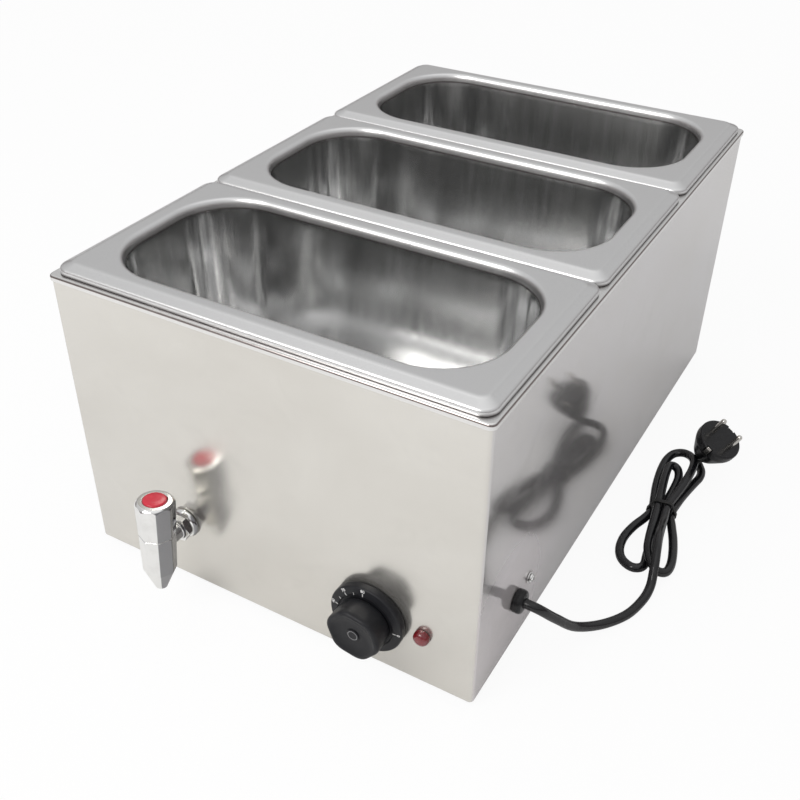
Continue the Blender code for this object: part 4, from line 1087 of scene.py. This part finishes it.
# the plug: the middle of its pin face, the way the pins point, the way they lie side by side
PLUG_FACE = Vector((0.2434, 0.0748, 0.0361))
PLUG_AXIS = Vector((0.44, -0.17, 0.882)).normalized()
PIN_LINE = Vector((0.889, -0.220, -0.400))
PIN_LINE = (PIN_LINE - PLUG_AXIS * PIN_LINE.dot(PLUG_AXIS)).normalized()
PLUG_TAIL = PLUG_FACE - PLUG_AXIS * 0.0370


def in_bundle(along, across, up):
    """A point in the bundle's frame, given in millimetres."""
    return TIE + (ALONG * along + ACROSS * across + UP * up) * 0.001


FROM_CASING = [  # x, y, z from inside the casing down to the table
    (0.1500, CORD.y, CORD.z), (0.1630, CORD.y, CORD.z), (0.1820, CORD.y, CORD.z),
    (0.1895, -0.1988, 0.0425), (0.1990, -0.1878, 0.0283), (0.2092, -0.1718, 0.0108),
    (0.2226, -0.1492, -0.0008), (0.2347, -0.1272, -0.0043), (0.2403, -0.1065, -0.0043)]
BUNDLE = [  # along, across, up in millimetres
    (-94, 7.7, 1.0), (-85, 7.6, 7.8), (-77, 6.8, 13.8), (-66, 5.6, 16.8), (-50, 4.4, 15.6),
    (-35, 4.0, 12.0), (-20, 3.9, 9.0), (0, 3.9, 7.8), (18, 8.5, 9.5), (34, 12.8, 11.6),
    (50, 15.6, 12.6), (64, 15.8, 12.0), (75, 11.6, 9.6), (81, 4.0, 6.8), (79, -3.8, 4.6),
    (70, -8.4, 3.0), (57, -10.4, 1.6), (43, -10.8, 0.6), (30, -10.4, 0), (15, -9, 0), (0, -8, 0),
    (-12, -11.6, 0), (-27, -18.6, 0), (-43, -23.4, 0), (-57, -24.0, 0), (-68, -20.8, 0),
    (-74.6, -14, 0), (-75.6, -6.8, 0), (-70, -1.6, 0), (-55, -1.6, 0), (-25, -1, 0), (0, 0, 0),
    (18, 2, 0), (34, 4.6, 0.8), (48, 6.0, 2.8), (56.5, 4.0, 4.8), (59.5, -0.4, 6.2),
    (56, -4.2, 7.2), (45, -5.0, 7.8), (30, -4.8, 8), (15, -4.2, 7.9), (0, -3.9, 7.8),
    (-20, -3.6, 8.0), (-45, -3.0, 8.2), (-60, -1.4, 8.2), (-71, 3.0, 7.2), (-76.4, 9.6, 3.8),
    (-72.5, 16.2, 1.0), (-62, 18.6, 0), (-47, 17.8, 0), (-30, 15, 0), (-15, 11.3, 0), (0, 8, 0),
    (20, 11.4, -0.5), (37, 15.6, -1.5), (52, 20.0, -2.3), (63, 23.4, -2.4)]
TO_PLUG = [(0.2335, 0.0735, -0.0044), (0.2300, 0.0792, -0.0036), (0.2270, 0.0810, -0.0004)]
route = FROM_CASING + [in_bundle(*row) for row in BUNDLE] + TO_PLUG
route += [PLUG_TAIL - PLUG_AXIS * 0.0014, PLUG_TAIL + PLUG_AXIS * 0.0070]
piece("mains_cord", tube(smooth_path(route, 0.0022, radians(6)), CORD_R), "cable_sheath",
      "power_cord", weigh=False, smooth=60)

# the four outer strands at the strap, in millimetres: two below, two above
BELOW_X, ABOVE_X, ABOVE_Z = 8.1, 4.0, 7.9


def strap_loop(along, radius, steps=12):
    """One loop of the strap, pulled tight round the four outer strands."""
    lean = degrees(atan2(BELOW_X - ABOVE_X, ABOVE_Z))
    out = []
    for x, z, start, end in ((BELOW_X, 0.0, -90, lean), (ABOVE_X, ABOVE_Z, lean, 90),
                             (-ABOVE_X, ABOVE_Z, 90, 180 - lean), (-BELOW_X, 0.0, 180 - lean, 270)):
        out += [in_bundle(along, *p) for p in arc((x, z), radius, start, end, steps)]
    return out


STRAP = [  # along, radius round the strands, in millimetres
    (-1.8, 4.0), (1.8, 4.0), (1.8, 4.6), (1.5, 4.9), (0.3, 4.8), (-0.3, 4.8), (-1.5, 4.9),
    (-1.8, 4.6)]
piece("cord_strap", loft([strap_loop(*row) for row in STRAP], closed=True),
      "rubber_black", "cord_tie", smooth=40)

# ================================================================ plug
PIN_X = 0.0095  # either side of the plug's axis
PLUG_R = 0.0195
PLUG_AXES = Matrix((PIN_LINE, PLUG_AXIS.cross(PIN_LINE), PLUG_AXIS)).transposed().to_4x4()
AT_PLUG = Matrix.Translation(PLUG_FACE) @ PLUG_AXES
plug = lathe([(0, -0.0290), (0.0043, -0.0290), (0.0043, -0.0326), (0.0054, -0.0326),
              (0.0064, -0.0318), (0.0084, -0.0298), (0.0118, -0.0250), (0.0152, -0.0180),
              (0.0184, -0.0110), (PLUG_R, -0.0080), (PLUG_R, -0.0012), (0.0185, 0.0), (0, 0)],
             edge=0.0012)
tools = []
for side in (1, -1):
    notch = box(0.0065, 0.0058, 0.0140)
    bmesh.ops.bevel(notch, geom=notch.edges[:], offset=0.0007, segments=3, profile=0.5,
                    affect='EDGES')
    tools += [(notch, Matrix.Translation((0, side * PLUG_R, -0.003))),
              (cylinder(0.00245, -0.006, 0.004, 32), Matrix.Translation((side * PIN_X, 0, 0)))]
piece("plug_shell", cut(plug, tools), "plastic_black", "plug_body", at=AT_PLUG, smooth=40,
      look=BLACK_GLOSS)
CLIP = [  # y, z along the sprung strip in each notch
    (0.01690, -0.0094), (0.01735, -0.0080), (0.01790, -0.0055), (0.01815, -0.0035),
    (0.01800, -0.0016), (0.01730, -0.0004)]
CLIP_SECTION = [(-0.0021, 0), (0.0021, 0), (0.0021, 0.0005), (-0.0021, 0.0005)]  # x, outwards
for side, tag in ((1, "a"), (-1, "b")):
    piece("plug_prong_" + tag, lathe([(0, -0.0057), (0.0024, -0.0057), (0.0024, 0.0172),
                                      (0.0021, 0.0182), (0.0014, 0.0189), (0, 0.0190)], 48),
          "pin_nickel", "plug_pin_" + tag,
          at=AT_PLUG @ Matrix.Translation((side * PIN_X, 0, 0)))
    clip = loft([[Vector((x, side * (y + out), z)) for x, out in CLIP_SECTION] for y, z in CLIP])
    piece("plug_clip_" + tag, clip, "pin_nickel", at=AT_PLUG, smooth=40, bevel=0.00012)

# ================================================================ parts kept close to CAD shape
SLOT_OF = {part["node"]: part["slot"] for part in frame["record"].get("subparts", [])
           if isinstance(part, dict) and part.get("node") and part.get("slot")}
# for nodes without a recorded slot: the first name found in the node's; otherwise screw_steel
SLOT_BY_NAME = {
    "base_plate": "casing_steel", "thermostat_body": "ceramic", "terminal_block": "ceramic",
    "overheat_cutout": "plastic_black", "lead": "rubber_black", "gasket": "rubber_black",
    "capillary": "brass", "elbow": "brass", "cord_lock_nut": "plastic_black",
    "earth_nut": "brass"}
for node, source in sorted(frame["nodes"].items()):
    if node in REPLACED:
        continue
    named = (slot for name, slot in SLOT_BY_NAME.items() if name in node)
    slot = SLOT_OF.get(node) or next(named, "screw_steel")
    bm = bmesh.new()
    bm.from_mesh(source.data)
    bm.transform(source.matrix_world)
    bmesh.ops.remove_doubles(bm, verts=bm.verts, dist=2e-6)
    bmesh.ops.dissolve_limit(bm, angle_limit=radians(0.6), verts=bm.verts, edges=bm.edges)
    piece(node + "_fine", bm, slot, node, body_of(source)[0], smooth=38, bevel=0.00020)


# ================================================================ floor, light, camera
def floor_material():
    """White, and nearly pure emission where the camera sees it directly."""
    m = Material("floor_white")
    m.finish(Base_Color=(0.86, 0.86, 0.86), Roughness=0.9, Specular_IOR_Level=0.1)
    glow = m.add("ShaderNodeEmission")
    m.put(glow.inputs["Color"], (1, 1, 1))
    m.put(glow.inputs["Strength"], 1.0)
    seen = m.add("ShaderNodeLightPath").outputs["Is Camera Ray"]
    blend = m.add("ShaderNodeMixShader")
    m.put(blend.inputs[0], m.times(seen, 0.93))
    m.put(blend.inputs[1], m.shader.outputs[0])
    m.put(blend.inputs[2], glow.outputs[0])
    m.put(m.tree.nodes["Material Output"].inputs["Surface"], blend.outputs[0])
    return m.material


def make_floor():
    bm = bmesh.new()
    bmesh.ops.create_grid(bm, x_segments=1, y_segments=1, size=6.0,
                          matrix=Matrix.Translation((0, 0, TABLE_Z - 0.0001)))
    mesh = bpy.data.meshes.new("floor")
    bm.to_mesh(mesh)
    bm.free()
    floor = bpy.data.objects.new("floor", mesh)
    SCENE.collection.objects.link(floor)
    mesh.materials.append(floor_material())


def make_world():
    """A grey room brightening upwards, with a low dark band; white to the camera."""
    world = bpy.data.worlds.new("studio")
    SCENE.world = world
    world.use_nodes = True
    w = Nodes(world.node_tree)
    _, y, z = w.split(w.add("ShaderNodeTexCoord").outputs["Generated"])
    ramp = w.add("ShaderNodeValToRGB")
    ramp.color_ramp.interpolation = 'EASE'
    stops = ramp.color_ramp.elements
    stops[0].position, stops[0].color = 0.0, (0.58, 0.58, 0.58, 1)
    stops[1].position, stops[1].color = 1.0, (1.00, 1.00, 1.00, 1)
    for position, grey in ((0.60, 0.60), (0.72, 0.66), (0.84, 0.76), (0.90, 0.88)):
        stops.new(position).color = (grey, grey, grey * 1.005, 1)
    w.put(ramp.inputs[0], z)
    # the dark band runs all round, stronger towards the front, like a studio's dark walls
    low_band = w.span(z, over=(0.12, 0.36), to=(1, 0), smooth=True)
    front_side = w.span(y, over=(0.1, -0.5), to=(0.75, 1), smooth=True)
    band = w.add("ShaderNodeMath", operation='MULTIPLY')
    w.put(band.inputs[0], low_band)
    w.put(band.inputs[1], front_side)
    room = w.mix(band.outputs[0], ramp.outputs[0], (0.16, 0.13, 0.13))
    seen = w.add("ShaderNodeLightPath").outputs["Is Camera Ray"]
    background = w.tree.nodes["Background"]
    w.put(background.inputs[0], w.mix(seen, room, (1, 1, 1)))
    w.put(background.inputs[1], 1.0)


def make_key_light():
    light = bpy.data.lights.new("key_softbox", 'AREA')
    light.shape, light.size, light.size_y = 'RECTANGLE', 1.3, 1.3
    light.energy, light.color = 30, (1.0, 0.99, 0.97)
    obj = bpy.data.objects.new("key_softbox", light)
    SCENE.collection.objects.link(obj)
    place, aim = Vector((-0.55, -1.90, 1.70)), Vector((0, 0, 0.1))
    obj.location = place
    obj.rotation_euler = (aim - place).to_track_quat('-Z', 'Y').to_euler()


def make_camera():
    camera = bpy.data.cameras.new("camera")
    camera.lens, camera.sensor_width = 46.56, 36.0
    camera.clip_start, camera.clip_end = 0.01, 50
    obj = bpy.data.objects.new("camera", camera)
    SCENE.collection.objects.link(obj)
    right = (0.86617, 0.49964, 0.01033)
    up = (-0.29733, 0.49861, 0.81424)
    back = (0.40168, -0.70834, 0.58044)
    view = Matrix((right, up, back)).transposed().to_4x4()
    view.translation = (0.3546, -0.6958, 0.5908)
    obj.matrix_world = view
    SCENE.camera = obj


make_floor()
make_world()
make_key_light()
make_camera()
SCENE.view_settings.view_transform = 'Standard'
SCENE.view_settings.look = 'None'
SCENE.view_settings.exposure = 0.0
SCENE.view_settings.gamma = 1.0

bpy.context.view_layer.update()
